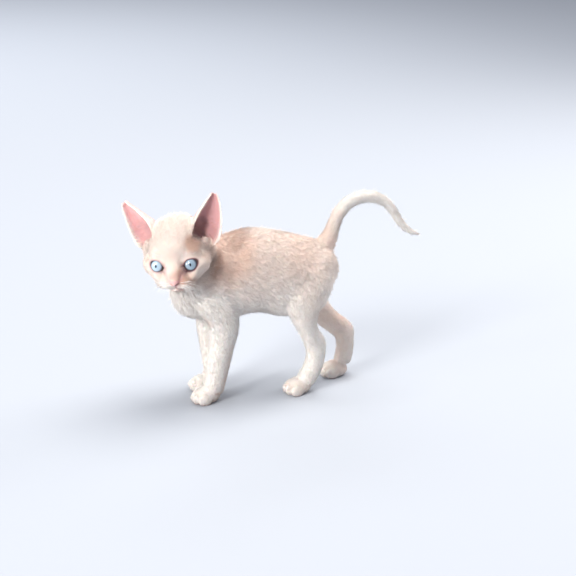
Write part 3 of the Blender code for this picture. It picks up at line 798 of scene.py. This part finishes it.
# Guides for the lie of the hair beside those along the limbs: place, direction and reach
CHEST_GUIDES = (
    ((-110, -4, 104), (0.15, 0, -1), 16),
    ((-104, -4, 88), (0.6, 0, -0.8), 16),
    ((-90, 0, 74), (1, 0, -0.4), 16),
    ((-98, -4, 118), (0.3, 0, -1), 14),
)


def lie_guides():
    """Places, directions, reaches and region numbers of the guides that the hair follows."""
    rows = []
    trunk = eased(TRUNK, 3)
    for x, top, bottom, half_width in trunk:
        middle, half = (top + bottom) / 2, (top - bottom) / 2
        rows.append(((x, 0, middle), (0.75, 0, -0.66), (half + half_width) / 2, 0))
        rows.append(((x, 0, top - 10), (1, 0, -0.1), 12, 0))
        rows.append(((x, 0, bottom + 8), (0.8, 0, -0.5), 12, 0))
    for number, stations in enumerate((LEFT_FORELEG, RIGHT_FORELEG, LEFT_HINDLEG, RIGHT_HINDLEG, TAIL), 1):
        path = eased(stations, 2)
        for station, course in zip(path, courses(path)):
            if number == 5 or station[2] < 108:
                rows.append((station[:3], tuple(course), (station[3] + station[4]) / 2, number))
    path = eased(NECK, 3)
    for station, course in zip(path, courses(path)):
        rows.append((station[:3], tuple(-course + Vector((0, 0, -0.45))), 22, 6))
    rows += [(place, way, reach, 6) for place, way, reach in CHEST_GUIDES]
    places, ways, reaches, numbers = (np.array(c, dtype=float) for c in zip(*rows))
    return places, ways / np.linalg.norm(ways, axis=1)[:, None], reaches, numbers.astype(int)


def lie_of(skin):
    """The direction of the hair along the skin at each point, and the region it belongs to."""
    places, ways, reaches, numbers = lie_guides()
    p = skin.points
    total = np.zeros_like(p)
    best = np.zeros(len(p))
    region = np.zeros(len(p), dtype=int)
    for place, way, reach, number in zip(places, ways, reaches, numbers):
        weight = (reach / (np.linalg.norm(p - place, axis=1) + 1)) ** 7
        total += weight[:, None] * way
        region = np.where(weight > best, number, region)
        best = np.maximum(best, weight)
    total /= np.linalg.norm(total, axis=1)[:, None]
    from_nose = skin.head - np.array((33, 0, -10))
    from_nose /= np.linalg.norm(from_nose, axis=1)[:, None]
    turn = np.array(head_frame())[:3, :3]
    head_way = from_nose @ turn.T
    on_head = smooth(38, 30, np.linalg.norm(skin.head, axis=1))[:, None]
    total = total * (1 - on_head) + head_way * on_head
    region = np.where(on_head[:, 0] > 0.5, 7, region)
    up, _, _, _ = ear_place(skin)
    for name, side in EARS.items():
        root, tip = EAR_SECTIONS[name][0], EAR_SECTIONS[name][-1]
        rise = Vector(tip[0]) - (Vector(root[0]) + Vector(root[1])) / 2
        ear_way = (head_frame() @ ear_frame(name)).to_3x3() @ rise.normalized()
        here = (up > 2) & (skin.head[:, 1] * side > 0)
        total = np.where(here[:, None], np.array(ear_way)[None, :], total)
        region = np.where(here, 8, region)
    flat = total - skin.normals * np.sum(total * skin.normals, axis=1)[:, None]
    return flat / (np.linalg.norm(flat, axis=1)[:, None] + 1e-6), region


def wobble(points, scale, seed):
    """A soft random value from about -1 to 1 that changes over the given scale."""
    rng = np.random.default_rng(seed)
    value = np.zeros(len(points))
    for _ in range(7):
        way = rng.normal(size=3)
        way *= rng.uniform(0.6, 1.6) * 2 * math.pi / scale / np.linalg.norm(way)
        value += np.sin(points @ way + rng.uniform(0, 6.3))
    return value / 2.6


# Waves of the coat: the way they follow one another, then each wave's length and steepness
WAVE_WAY = (0.42, 0, -0.91)
WAVES = ((3.3, 0.2), (7.4, 0.16))


def waves(points):
    """The height of the coat's waves, from about -1 to 1, and their slope along the hair."""
    course = points @ np.array(WAVE_WAY)
    strength = waviness(points)
    height, slope = np.zeros((2, len(points)))
    for number, (length, steepness) in enumerate(WAVES):
        phase = 2 * math.pi * course / length
        phase += 2.6 * wobble(points, 5 * length, 30 + number) + 1.1 * wobble(points, 2 * length, 40 + number)
        height += 0.6 * np.sin(phase) * strength
        slope += steepness * np.cos(phase) * strength
    return height, slope


def waviness(points):
    """How strongly the coat is waved: most on the chest, least on face, paws and ears."""
    head = np.linalg.norm(points - np.array(HEAD_MIDDLE), axis=1)
    strength = 0.75 + 0.5 * smooth(-55, -85, points[:, 0]) * smooth(84, 96, points[:, 2])
    return strength * (0.15 + 0.85 * smooth(30, 40, head)) * (0.45 + 0.55 * smooth(20, 60, points[:, 2]))


def sampled_roots(form, count, rng):
    """Roots spread over the skin, closer together on face, ears and paws."""
    mesh = form.data
    mesh.calc_loop_triangles()
    corners = np.empty(3 * len(mesh.loop_triangles), dtype=np.int32)
    mesh.loop_triangles.foreach_get("vertices", corners)
    corners = corners.reshape(-1, 3)
    points, normals = points_of(mesh) / MM, normals_of(mesh)
    a, b, c = (points[corners[:, k]] for k in range(3))
    middle = Skin((a + b + c) / 3, normals[corners[:, 0]])
    weight = np.linalg.norm(np.cross(b - a, c - a), axis=1)
    _, pink, dark, nose = marks(middle)
    on_head = smooth(37, 30, np.linalg.norm(middle.head, axis=1))
    on_face = on_head * smooth(2, 18, middle.head[:, 0])
    weight *= 1 + 0.7 * on_head + 1.3 * on_face + 0.6 * smooth(26, 12, middle.points[:, 2])
    weight *= 1 - smooth(0.35, 0.75, pink)
    weight *= (nose < 0.1) * (dark < 0.4) * (middle.points[:, 2] > 0.7)
    total = np.cumsum(weight)
    picks = np.searchsorted(total, (np.arange(count) + rng.random(count)) / count * total[-1])
    picks = np.minimum(picks, len(corners) - 1)
    u, v = rng.random(count), rng.random(count)
    over = u + v > 1
    u, v = np.where(over, 1 - u, u), np.where(over, 1 - v, v)
    share = np.stack([1 - u - v, u, v], axis=1)
    roots = np.einsum("nk,nkd->nd", share, points[corners[picks]])
    facing = np.einsum("nk,nkd->nd", share, normals[corners[picks]])
    return roots, facing / np.linalg.norm(facing, axis=1)[:, None]


TUFT_HAIRS = 5
COAT_NAMES = (
    "coat_trunk_fore",
    "coat_trunk_middle",
    "coat_trunk_hind",
    "coat_foreleg_left",
    "coat_foreleg_right",
    "coat_hindleg_left",
    "coat_hindleg_right",
    "coat_neck_and_tail",
    "coat_head",
    "coat_face",
    "coat_ears",
)


class Tufts:
    """Places, ways, sizes and marks of tufts, in columns with a row for each tuft."""

    def __init__(self, **columns):
        vars(self).update(columns)

    def only(self, here):
        return Tufts(**{name: column[here] for name, column in vars(self).items()})


def tuft_sizes(skin, rng):
    """Length, half width and lift in degrees of each tuft."""
    x, z = skin.points[:, 0], skin.points[:, 2]
    on_head = smooth(37, 30, np.linalg.norm(skin.head, axis=1))
    on_face = on_head * smooth(-4, 22, skin.head[:, 0])
    on_chest = smooth(-84, -96, x) * smooth(78, 88, z) * (1 - on_head)
    length = 3.1 * (1 - 0.3 * smooth(90, 50, z)) * (1 - 0.3 * smooth(26, 10, z)) + 0.9 * on_chest
    length = length * (1 - on_head) + on_head * (2.5 - 1.5 * on_face)
    up, _, _, _ = ear_place(skin)
    length = np.where(up > 2, 1.4, length)
    for side in (-1, 1):
        length *= 0.4 + 0.6 * smooth(1.1, 1.9, almond(skin.points, side)[2])
    length *= rng.uniform(0.75, 1.25, len(z))
    width = 0.105 * (1 - 0.3 * on_face)
    lift = 13 + 6 * waves(skin.points)[0] + 8 * on_chest + rng.normal(0, 3, len(z))
    stray = rng.random(len(z)) < 0.22 * (1 - 0.8 * on_face) * (up < 2)
    lift = np.where(stray, lift + rng.uniform(12, 52, len(z)), lift)
    return length * np.where(stray, 1.15, 1), width * np.where(stray, 0.65, 1), np.clip(lift, 6, 70)


def hair_points(tufts, rng):
    """The three corners of the root and the tip of each hair: tuft, hair, corner, place."""
    count = len(tufts.roots)
    side = np.cross(tufts.facing, tufts.ways)
    lift = np.radians(tufts.lift)[:, None]
    tip_way = tufts.ways * np.cos(lift) + tufts.facing * np.sin(lift)
    across, along = rng.uniform(-0.55, 0.55, (2, count, TUFT_HAIRS, 1))
    side, ways, facing = (v[:, None, :] for v in (side, tufts.ways, tufts.facing))
    roots = tufts.roots[:, None, :]
    start = roots + side * across + ways * along - facing * 0.1
    reach = tufts.length[:, None, None] * rng.uniform(0.8, 1.15, (count, TUFT_HAIRS, 1))
    points = np.empty((count, TUFT_HAIRS, 4, 3))
    roll = rng.normal(0, 0.3, (count, TUFT_HAIRS, 1))
    for k, (wide, high) in enumerate(((-1.5, 0.25), (1.5, 0.25), (0, -0.6))):
        offset = side * (wide * np.cos(roll) - high * np.sin(roll))
        offset = offset + facing * (wide * np.sin(roll) + high * np.cos(roll))
        points[:, :, k, :] = start + offset * tufts.width[:, None, None]
    points[:, :, 3, :] = roots + tip_way[:, None, :] * reach + side * across * 0.45 + ways * along * 0.5
    points[..., 2] = np.maximum(points[..., 2], 0.15)
    return points


HAIR_FACES = ((3, 1, 0), (3, 2, 1), (3, 0, 2), (0, 1, 2))


def make_tufts(name, tufts, rng):
    """One mesh of tufts: each tuft a few thin three-sided hairs that lean together at their tips."""
    points = hair_points(tufts, rng).reshape(-1, 3)
    count, hairs = len(tufts.roots), len(points) // 4
    first = 4 * np.arange(hairs, dtype=np.int32)[:, None, None]
    corners = (first + np.array(HAIR_FACES, dtype=np.int32)).reshape(-1)
    mesh = bpy.data.meshes.new(name)
    mesh.vertices.add(4 * hairs)
    mesh.vertices.foreach_set("co", row_points(points).astype(np.float32).ravel())
    mesh.loops.add(len(corners))
    mesh.loops.foreach_set("vertex_index", corners)
    mesh.polygons.add(len(corners) // 3)
    mesh.polygons.foreach_set("loop_start", np.arange(0, len(corners), 3, dtype=np.int32))
    mesh.update(calc_edges=True)
    mesh.polygons.foreach_set("use_smooth", np.full(len(mesh.polygons), name != "coat_ears"))

    # The light falls on the tufts as on one soft waved surface
    each = 4 * TUFT_HAIRS
    height, slope = waves(points)
    soft = np.repeat(tufts.facing, each, axis=0) - np.repeat(tufts.ways, each, axis=0) * slope[:, None]
    soft += np.repeat(rng.normal(0, 0.12, (count, 3)), each, axis=0)
    soft += np.repeat(rng.normal(0, 0.2, (hairs, 3)), 4, axis=0)
    soft /= np.linalg.norm(soft, axis=1)[:, None]
    if name != "coat_ears":
        layer = mesh.attributes.new("custom_normal", "FLOAT_VECTOR", "POINT")
        layer.data.foreach_set("vector", soft.astype(np.float32).ravel())

    add_attribute(mesh, "warm", np.repeat(tufts.warm, each))
    add_attribute(mesh, "pink", np.repeat(tufts.pink, each))
    # Darker in the waves' troughs: painted shade
    tone = 0.07 * height + np.repeat(tufts.tone + 0.14 * (rng.random(count) - 0.5), each)
    tone += 0.2 * np.repeat(rng.random(hairs) - 0.5, 4)
    add_attribute(mesh, "tone", np.clip(tone, 0, 1))
    add_attribute(mesh, "tip", np.tile(np.array([0, 0, 0, 1.0]), hairs))
    layer = mesh.uv_layers.new(name="OFBake")
    patch = 0.0015 * np.array([(-1, -1), (1, -1), (0, 0), (0, 1)])
    spots = np.repeat(tufts.place, TUFT_HAIRS, axis=0)[:, None, :] + patch[None, :, :]
    layer.data.foreach_set("uv", spots.reshape(-1, 2)[corners].astype(np.float32).ravel())
    obj = bpy.data.objects.new(name, mesh)
    bpy.context.scene.collection.objects.link(obj)
    return obj


# Each region's cell on the unwrap of the skin: left, bottom, width and height
CELLS = (
    (0.02, 0.52, 0.6, 0.46),
    (0.64, 0.78, 0.16, 0.2),
    (0.82, 0.78, 0.16, 0.2),
    (0.64, 0.54, 0.16, 0.22),
    (0.82, 0.54, 0.16, 0.22),
    (0.64, 0.3, 0.34, 0.1),
    (0.64, 0.42, 0.34, 0.1),
    (0.02, 0.02, 0.6, 0.48),
    (0.64, 0.02, 0.34, 0.26),
)


def unwrap(skin, region):
    """Each root's place on an unwrap: round and along the trunk, limb, head or ear that it grows on."""
    p, h = skin.points, skin.head
    place = np.zeros((len(p), 2))
    trunk_round = np.arctan2(p[:, 1], p[:, 2] - 112) / (2 * math.pi) + 0.5
    place[:, 0], place[:, 1] = (p[:, 0] + 118) / 170, trunk_round
    limbs = {1: LEFT_FORELEG, 2: RIGHT_FORELEG, 3: LEFT_HINDLEG, 4: RIGHT_HINDLEG, 5: TAIL, 6: NECK}
    for number, stations in limbs.items():
        path = eased(stations, 4)
        middles = np.array([s[:3] for s in path])
        here = np.flatnonzero(region == number)
        if not len(here):
            continue
        near = np.argmin(np.linalg.norm(p[here][:, None, :] - middles[None, :, :], axis=2), axis=1)
        gap = p[here] - middles[near]
        course = np.array(courses(path))[near]
        side = np.array((0, 1.0, 0)) - course * course[:, 1:2]
        turn = np.arctan2(np.sum(gap * side, axis=1), np.sum(gap * np.cross(side, course), axis=1))
        place[here, 0] = turn / (2 * math.pi) + 0.5
        place[here, 1] = near / len(path) + np.sum(gap * course, axis=1) / 400
    on_head = region == 7
    polar = np.arctan2(h[:, 1], h[:, 2] + 4) / (2 * math.pi) + 0.5
    place[on_head] = np.stack([(h[:, 0] + 36) / 74, polar], axis=1)[on_head]
    on_ear = region == 8
    left = skin.head[:, 1] > 0
    q = np.where(left[:, None], skin.ears["left"], skin.ears["right"])
    facing = np.where(ear_place(skin)[3] > 0, 0.25, 0)
    across = (q[:, 1] / 45) * 0.24 + facing + np.where(left, 0, 0.5)
    place[on_ear] = np.stack([across, (q[:, 2] + 5) / 60], axis=1)[on_ear]
    cells = np.array(CELLS)[region]
    return cells[:, :2] + np.clip(place, 0, 1) * cells[:, 2:]


def make_coat(form, count):
    rng = np.random.default_rng(SEED)
    roots, facing = sampled_roots(form, count, rng)
    skin = Skin(roots, facing)
    ways, region = lie_of(skin)
    swirl = 0.22 * wobble(roots, 26, 3) + 0.16 * wobble(roots, 9, 4) + rng.normal(0, 0.12, count)
    ways = ways + np.cross(facing, ways) * swirl[:, None]
    ways /= np.linalg.norm(ways, axis=1)[:, None]
    length, width, lift = tuft_sizes(skin, rng)
    warm, pink, dark, _ = marks(skin)
    tufts = Tufts(roots=roots, facing=facing, ways=ways, length=length, width=width, lift=lift)
    tufts.warm, tufts.pink, tufts.place = warm, pink, unwrap(skin, region)
    # The coat takes the painted shade of tone and dark as well
    tufts.tone = tone_of(skin) - 0.5 * dark
    x, f = roots[:, 0], skin.head[:, 0]
    kind = np.select(
        [
            region == 8,
            (region == 7) & (f > 6),
            region == 7,
            (region == 5) | (region == 6),
            region == 1,
            region == 2,
            region == 3,
            region == 4,
            x < -50,
            x < -8,
        ],
        [10, 9, 8, 7, 3, 4, 5, 6, 0, 1],
        2,
    )
    pieces = []
    for number, name in enumerate(COAT_NAMES):
        pieces.append(make_tufts(name, tufts.only(kind == number), rng))
        print(name, len(pieces[-1].data.polygons))
    return pieces


# Colours of the coat and skin
WHITE_COAT = (0.93, 0.905, 0.87)
WARM_COAT = (0.91, 0.68, 0.575)
PINK_SKIN = (0.70, 0.375, 0.375)
# The dark of the lids' edges, and the colour of painted shade in creases, ear canals and under the jaw
DARK_SKIN_AND_SHADE = (0.065, 0.015, 0.023)


def new_material(name, roughness):
    """A node material with its Principled shader, ready for its colour."""
    material = bpy.data.materials.new(name)
    material.use_nodes = True
    shader = material.node_tree.nodes["Principled BSDF"]
    shader.inputs["Roughness"].default_value = roughness
    return material, material.node_tree, shader


def mixed(tree, factor, first, second, blend="MIX"):
    """A colour mix node. Each of its inputs is a socket, a colour or a number."""
    node = tree.nodes.new("ShaderNodeMix")
    node.data_type = "RGBA"
    node.blend_type = blend
    for socket, value in ((node.inputs[0], factor), (node.inputs[6], first), (node.inputs[7], second)):
        if isinstance(value, bpy.types.NodeSocket):
            tree.links.new(value, socket)
        elif isinstance(value, tuple):
            socket.default_value = (*value, 1)
        else:
            socket.default_value = value
    return node.outputs[2]


def reading(tree, name):
    """The output of an attribute node as a number."""
    node = tree.nodes.new("ShaderNodeAttribute")
    node.attribute_name = name
    return node.outputs["Fac"]


def speckle(tree, scale, detail=3):
    """Noise in the object's own coordinates, as a number."""
    place = tree.nodes.new("ShaderNodeTexCoord")
    node = tree.nodes.new("ShaderNodeTexNoise")
    node.inputs["Scale"].default_value = scale
    node.inputs["Detail"].default_value = detail
    tree.links.new(place.outputs["Object"], node.inputs["Vector"])
    return node.outputs["Fac"]


def ranged(tree, value, low, high):
    """A number from 0 to 1 carried to a new range."""
    node = tree.nodes.new("ShaderNodeMapRange")
    node.inputs["To Min"].default_value = low
    node.inputs["To Max"].default_value = high
    tree.links.new(value, node.inputs["Value"])
    return node.outputs["Result"]


def coat_colour_group():
    """The colour that skin and coat share, from how warm, pink, pale at the tip and toned a place is."""
    group = bpy.data.node_groups.new("coat_colour", "ShaderNodeTree")
    face = group.interface
    for name in ("Warm", "Pink", "Tip", "Tone"):
        socket = face.new_socket(name, in_out="INPUT", socket_type="NodeSocketFloat")
        socket.default_value = 0.5
    face.new_socket("Colour", in_out="OUTPUT", socket_type="NodeSocketColor")
    come = group.nodes.new("NodeGroupInput")
    leave = group.nodes.new("NodeGroupOutput")
    cloud = ranged(group, speckle(group, 55), -0.15, 0.15)
    warm = group.nodes.new("ShaderNodeMath")
    warm.operation = "ADD"
    group.links.new(come.outputs["Warm"], warm.inputs[0])
    group.links.new(cloud, warm.inputs[1])
    coat = mixed(group, warm.outputs[0], WHITE_COAT, WARM_COAT)
    # Tone: the coat's random variation, with the painted shade of head, neck and creases
    toned = mixed(group, come.outputs["Tone"], (0.60, 0.505, 0.465), (1.07, 1.07, 1.07))
    coat = mixed(group, 1.0, coat, toned, "MULTIPLY")
    # Darker roots: painted shade deep in the coat
    paled = mixed(group, come.outputs["Tip"], (0.90, 0.84, 0.79), (1.04, 1.04, 1.04))
    coat = mixed(group, 1.0, coat, paled, "MULTIPLY")
    found = mixed(group, come.outputs["Pink"], coat, PINK_SKIN)
    group.links.new(found, leave.inputs["Colour"])
    return group


def grouped(tree, group, **values):
    node = tree.nodes.new("ShaderNodeGroup")
    node.node_tree = group
    for name, value in values.items():
        if isinstance(value, bpy.types.NodeSocket):
            tree.links.new(value, node.inputs[name])
        else:
            node.inputs[name].default_value = value
    return node.outputs[0]


def skin_material(group):
    material, tree, shader = new_material("skin", 0.62)
    colour = grouped(
        tree, group, Warm=reading(tree, "warm"), Pink=reading(tree, "pink"), Tip=0.4, Tone=reading(tree, "tone")
    )
    # Lids' dark edges and painted shade
    colour = mixed(tree, reading(tree, "dark"), colour, DARK_SKIN_AND_SHADE)
    tree.links.new(colour, shader.inputs["Base Color"])
    shader.inputs["Subsurface Weight"].default_value = 0.35
    shader.inputs["Subsurface Radius"].default_value = (1.0, 0.35, 0.2)
    shader.inputs["Subsurface Scale"].default_value = 0.0025
    bump = tree.nodes.new("ShaderNodeBump")
    bump.inputs["Strength"].default_value = 0.35
    bump.inputs["Distance"].default_value = 0.0004
    rough = tree.nodes.new("ShaderNodeMath")
    rough.operation = "ADD"
    tree.links.new(speckle(tree, 1400), rough.inputs[0])
    tree.links.new(reading(tree, "wave"), rough.inputs[1])
    tree.links.new(rough.outputs[0], bump.inputs["Height"])
    tree.links.new(bump.outputs["Normal"], shader.inputs["Normal"])
    return material


def coat_material(group):
    material, tree, shader = new_material("coat", 0.7)
    colour = grouped(
        tree,
        group,
        Warm=reading(tree, "warm"),
        Pink=reading(tree, "pink"),
        Tip=reading(tree, "tip"),
        Tone=reading(tree, "tone"),
    )
    tree.links.new(colour, shader.inputs["Base Color"])
    shader.inputs["Specular IOR Level"].default_value = 0.25
    shader.inputs["Sheen Weight"].default_value = 0.25
    shader.inputs["Sheen Roughness"].default_value = 0.5
    return material


def eye_material(side):
    """A pale blue iris with a small upright pupil under a clear, wet surface."""
    material, tree, shader = new_material("eye_" + ("left" if side > 0 else "right"), 0.25)
    centre = row_points(np.array(eye_frame(side).to_translation()))
    place = tree.nodes.new("ShaderNodeTexCoord")
    mapping = tree.nodes.new("ShaderNodeMapping")
    mapping.vector_type = "TEXTURE"
    mapping.inputs["Location"].default_value = tuple(centre)
    mapping.inputs["Rotation"].default_value = gaze_frame(side).to_euler()
    mapping.inputs["Scale"].default_value = (MM, MM, MM)
    tree.links.new(place.outputs["Object"], mapping.inputs["Vector"])
    split = tree.nodes.new("ShaderNodeSeparateXYZ")
    tree.links.new(mapping.outputs["Vector"], split.inputs["Vector"])

    def length_of(scale_y, scale_z):
        flat = tree.nodes.new("ShaderNodeCombineXYZ")
        for socket, output, scale in (("X", "Y", scale_y), ("Y", "Z", scale_z)):
            product = tree.nodes.new("ShaderNodeMath")
            product.operation = "MULTIPLY"
            product.inputs[1].default_value = scale
            tree.links.new(split.outputs[output], product.inputs[0])
            tree.links.new(product.outputs[0], flat.inputs[socket])
        length = tree.nodes.new("ShaderNodeVectorMath")
        length.operation = "LENGTH"
        tree.links.new(flat.outputs[0], length.inputs[0])
        return length.outputs["Value"]

    def banded(value, stops):
        ramp = tree.nodes.new("ShaderNodeValToRGB")
        elements = ramp.color_ramp.elements
        while len(elements) < len(stops):
            elements.new(0.5)
        for element, (position, colour) in zip(elements, stops):
            element.position = position
            element.color = (*colour, 1)
        tree.links.new(value, ramp.inputs["Fac"])
        return ramp.outputs["Color"]

    # The left iris is darker: painted shade, as that eye lies in the shadow of the brow
    shade = 0.55 if side > 0 else 0.95
    iris = banded(
        length_of(0.125, 0.125),
        (
            (0.0, (0.27 * shade, 0.37 * shade, 0.48 * shade)),
            (0.25, (0.37 * shade, 0.50 * shade, 0.63 * shade)),
            (0.48, (0.42 * shade, 0.54 * shade, 0.66 * shade)),
            (0.58, (0.16 * shade, 0.20 * shade, 0.26 * shade)),
            (0.65, (0.025, 0.02, 0.025)),
            (1.0, (0.10, 0.07, 0.06)),
        ),
    )
    streaks = tree.nodes.new("ShaderNodeTexNoise")
    streaks.inputs["Scale"].default_value = 2.6
    streaks.inputs["Detail"].default_value = 4
    tree.links.new(mapping.outputs["Vector"], streaks.inputs["Vector"])
    colour = mixed(tree, 0.35, iris, mixed(tree, streaks.outputs["Fac"], (0.5, 0.5, 0.5), (1, 1, 1)), "OVERLAY")
    pupil = banded(length_of(0.58, 0.32), ((0.40, (1, 1, 1)), (0.47, (0.012, 0.012, 0.02))))
    ramp = pupil.node.color_ramp.elements
    ramp[0].color, ramp[1].color = (0.012, 0.012, 0.02, 1), (1, 1, 1, 1)
    colour = mixed(tree, 1.0, colour, pupil, "MULTIPLY")
    tree.links.new(colour, shader.inputs["Base Color"])
    shader.inputs["Coat Weight"].default_value = 1
    shader.inputs["Coat Roughness"].default_value = 0.02
    shader.inputs["Coat IOR"].default_value = 1.38
    return material


def gaze_frame(side):
    """The turn of an eye: its X is the way it looks."""
    inward = Matrix.Rotation(math.radians(-4), 4, "Z")
    down = Matrix.Rotation(math.radians(-1), 4, "Y")
    return (eye_frame(side, 0) @ inward @ down).to_3x3().normalized()


def make_eye(name, side):
    """An eyeball with a slightly raised clear front."""
    bm = bmesh.new()
    bmesh.ops.create_uvsphere(bm, u_segments=64, v_segments=32, radius=EYE_RADIUS - 0.05)
    for vert in bm.verts:
        ahead = vert.co.normalized().x
        vert.co *= 1 + 0.05 * float(smooth(0.72, 1.0, ahead))
    obj = new_object(name, bm)
    turn = gaze_frame(side).to_4x4()
    points = carried(turn, points_of(obj.data) / MM) + np.array(eye_frame(side).to_translation())
    obj.data.vertices.foreach_set("co", row_points(points).ravel())
    obj.data.update()
    obj.data.polygons.foreach_set("use_smooth", [True] * len(obj.data.polygons))
    obj.data.materials.append(eye_material(side))
    return obj


# Whiskers of the left side in the head's frame: root, way out, curl, length and thickness at the root
WHISKER_ROWS = ((-13.2, 9.0, 0.28), (-15.2, 12.5, 0.02), (-17.2, 11.0, -0.28), (-18.6, 8.0, -0.55))
BROW_HAIRS = ((8.5, 8.2, 11.0), (12.5, 9.0, 12.0), (17.5, 8.0, 9.0))


def add_strand(bm, root, way, curl, length, thick):
    """A thin hair that leaves its root one way and curls over."""
    steps, sides = 9, 5
    rings = []
    for k in range(steps + 1):
        t = k / steps
        middle = root + way * (length * t) + curl * (length * t * t)
        course = (way + curl * (2 * t)).normalized()
        across = course.orthogonal().normalized()
        radius = thick * (1 - 0.85 * t)
        rings.append(round_ring(middle, across * radius, across.cross(course) * radius, sides))
    add_loft(bm, rings)


def make_whiskers(points, head):
    """Short curled whiskers on the pads and a few long hairs over the eyes."""
    rng = np.random.default_rng(SEED + 1)
    ahead = head[:, 0] > 8
    seen, places = head[ahead], points[ahead]
    turn = head_frame().to_3x3()
    bm = bmesh.new()

    def grow(left, up, way, curl, length, thick):
        root = places[np.argmin(np.hypot(seen[:, 1] - left, seen[:, 2] - up) - 0.2 * seen[:, 0])]
        add_strand(bm, Vector(root), (turn @ way).normalized(), turn @ curl, length, thick)

    for side in (-1, 1):
        for up, length, rise in WHISKER_ROWS:
            for place in np.linspace(5.5, 11.5, 4):
                droop, sweep = rng.uniform(-0.15, 0.15, 2)
                way = Vector((0.45 + sweep, side * 0.85, rise + droop))
                curl = Vector((-0.25 - 0.4 * rng.random(), -side * 0.1, -0.2 - 0.35 * rng.random()))
                grow(side * place, up, way, curl, length * rng.uniform(0.7, 1.2), 0.13)
        for place, up, length in BROW_HAIRS:
            way = Vector((0.75, side * rng.uniform(0, 0.4), 0.6))
            grow(side * place, up, way, Vector((-0.25, side * 0.3, 0.1)), length * rng.uniform(0.7, 1), 0.1)
    obj = new_object("whiskers", bm)
    obj.data.vertices.foreach_set("co", row_points(points_of(obj.data) / MM).ravel())
    obj.data.update()
    material, _, shader = new_material("whisker", 0.4)
    shader.inputs["Base Color"].default_value = (0.93, 0.92, 0.90, 1)
    obj.data.materials.append(material)
    return obj


def make_studio():
    """A plain pale floor, soft light from the upper left and the camera at the photograph's angle."""
    bm = bmesh.new()
    bmesh.ops.create_grid(bm, x_segments=1, y_segments=1, size=8)
    mesh = bpy.data.meshes.new("floor")
    bm.to_mesh(mesh)
    bm.free()
    floor = bpy.data.objects.new("floor", mesh)
    bpy.context.scene.collection.objects.link(floor)
    material, tree, shader = new_material("floor", 0.6)
    shader.inputs["Base Color"].default_value = (0.42, 0.45, 0.50, 1)
    floor.data.materials.append(material)

    world = bpy.data.worlds.new("studio")
    world.use_nodes = True
    background = world.node_tree.nodes["Background"]
    background.inputs["Color"].default_value = (0.86, 0.89, 1.0, 1)
    background.inputs["Strength"].default_value = 0.44
    bpy.context.scene.world = world
    bpy.context.scene.view_settings.view_transform = "Standard"

    lit = Vector((-0.02, 0, 0.1))
    for name, place, size, power, colour, aim in (
        ("key", (-2.15, -1.55, 1.5), 0.8, 72, (1.0, 0.97, 0.92), lit),
        ("low", (-2.5, -0.5, 0.35), 0.8, 30, (1.0, 0.97, 0.95), lit),
        ("top", (0.5, 0.2, 2.2), 1.4, 55, (1.0, 0.97, 0.93), lit),
        ("back", (1.6, 0.5, 0.9), 1.0, 18, (1.0, 0.95, 0.90), lit),
        ("floor_light", (-0.7, 2.6, 2.0), 2.4, 70, (1.0, 1.0, 1.0), Vector((-0.9, 3.4, 0))),
    ):
        light = bpy.data.lights.new(name, "AREA")
        light.size = size
        light.energy = power
        light.color = colour
        lamp = bpy.data.objects.new(name, light)
        lamp.location = place
        lamp.rotation_euler = (aim - lamp.location).to_track_quat("-Z", "Y").to_euler()
        bpy.context.scene.collection.objects.link(lamp)

    azimuth, elevation, distance = math.radians(-15.5), math.radians(18), 1.2
    target = Vector((0, 0, 0.0972)) + SHIFT
    away = Vector(
        (
            math.sin(azimuth) * math.cos(elevation),
            -math.cos(azimuth) * math.cos(elevation),
            math.sin(elevation),
        )
    )
    lens = bpy.data.cameras.new("camera")
    lens.lens = 81.5
    lens.sensor_width = 36
    camera = bpy.data.objects.new("camera", lens)
    camera.location = target + away * distance
    camera.rotation_euler = (-away).to_track_quat("-Z", "Y").to_euler()
    bpy.context.scene.collection.objects.link(camera)
    bpy.context.scene.camera = camera


make_studio()
skin_object = shape_skin(fused_form())
colour_group = coat_colour_group()
coats = make_coat(skin_object, 70000)

skin_points, skin_normals = points_of(skin_object.data) / MM, normals_of(skin_object.data)
skin_place = Skin(skin_points, skin_normals)
skin_marks = marks(skin_place)
for mark, values in zip(("warm", "pink", "dark"), skin_marks):
    add_attribute(skin_object.data, mark, np.clip(values, 0, 1))
add_attribute(skin_object.data, "wave", waves(skin_points)[0])
add_attribute(skin_object.data, "tone", np.clip(tone_of(skin_place), 0, 1))
skin_object.data.vertices.foreach_set("co", row_points(skin_points).ravel())
skin_object.data.update()
skin_object.data.polygons.foreach_set("use_smooth", [True] * len(skin_object.data.polygons))
skin_object.data.materials.clear()
skin_object.data.materials.append(skin_material(colour_group))
print("skin", len(skin_object.data.polygons))

fur = coat_material(colour_group)
for coat in coats:
    coat.data.materials.append(fur)
    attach(coat, "root")

whiskers = make_whiskers(skin_points, skin_place.head)
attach(whiskers, "root")
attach(skin_object, "root")
eye_nodes = ("eye_left", "eye_right")
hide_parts(*[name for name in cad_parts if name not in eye_nodes])
for name, side in zip(eye_nodes, (1, -1)):
    eye = make_eye("kitten_" + name, side)
    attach(eye, "root")
    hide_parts(name)
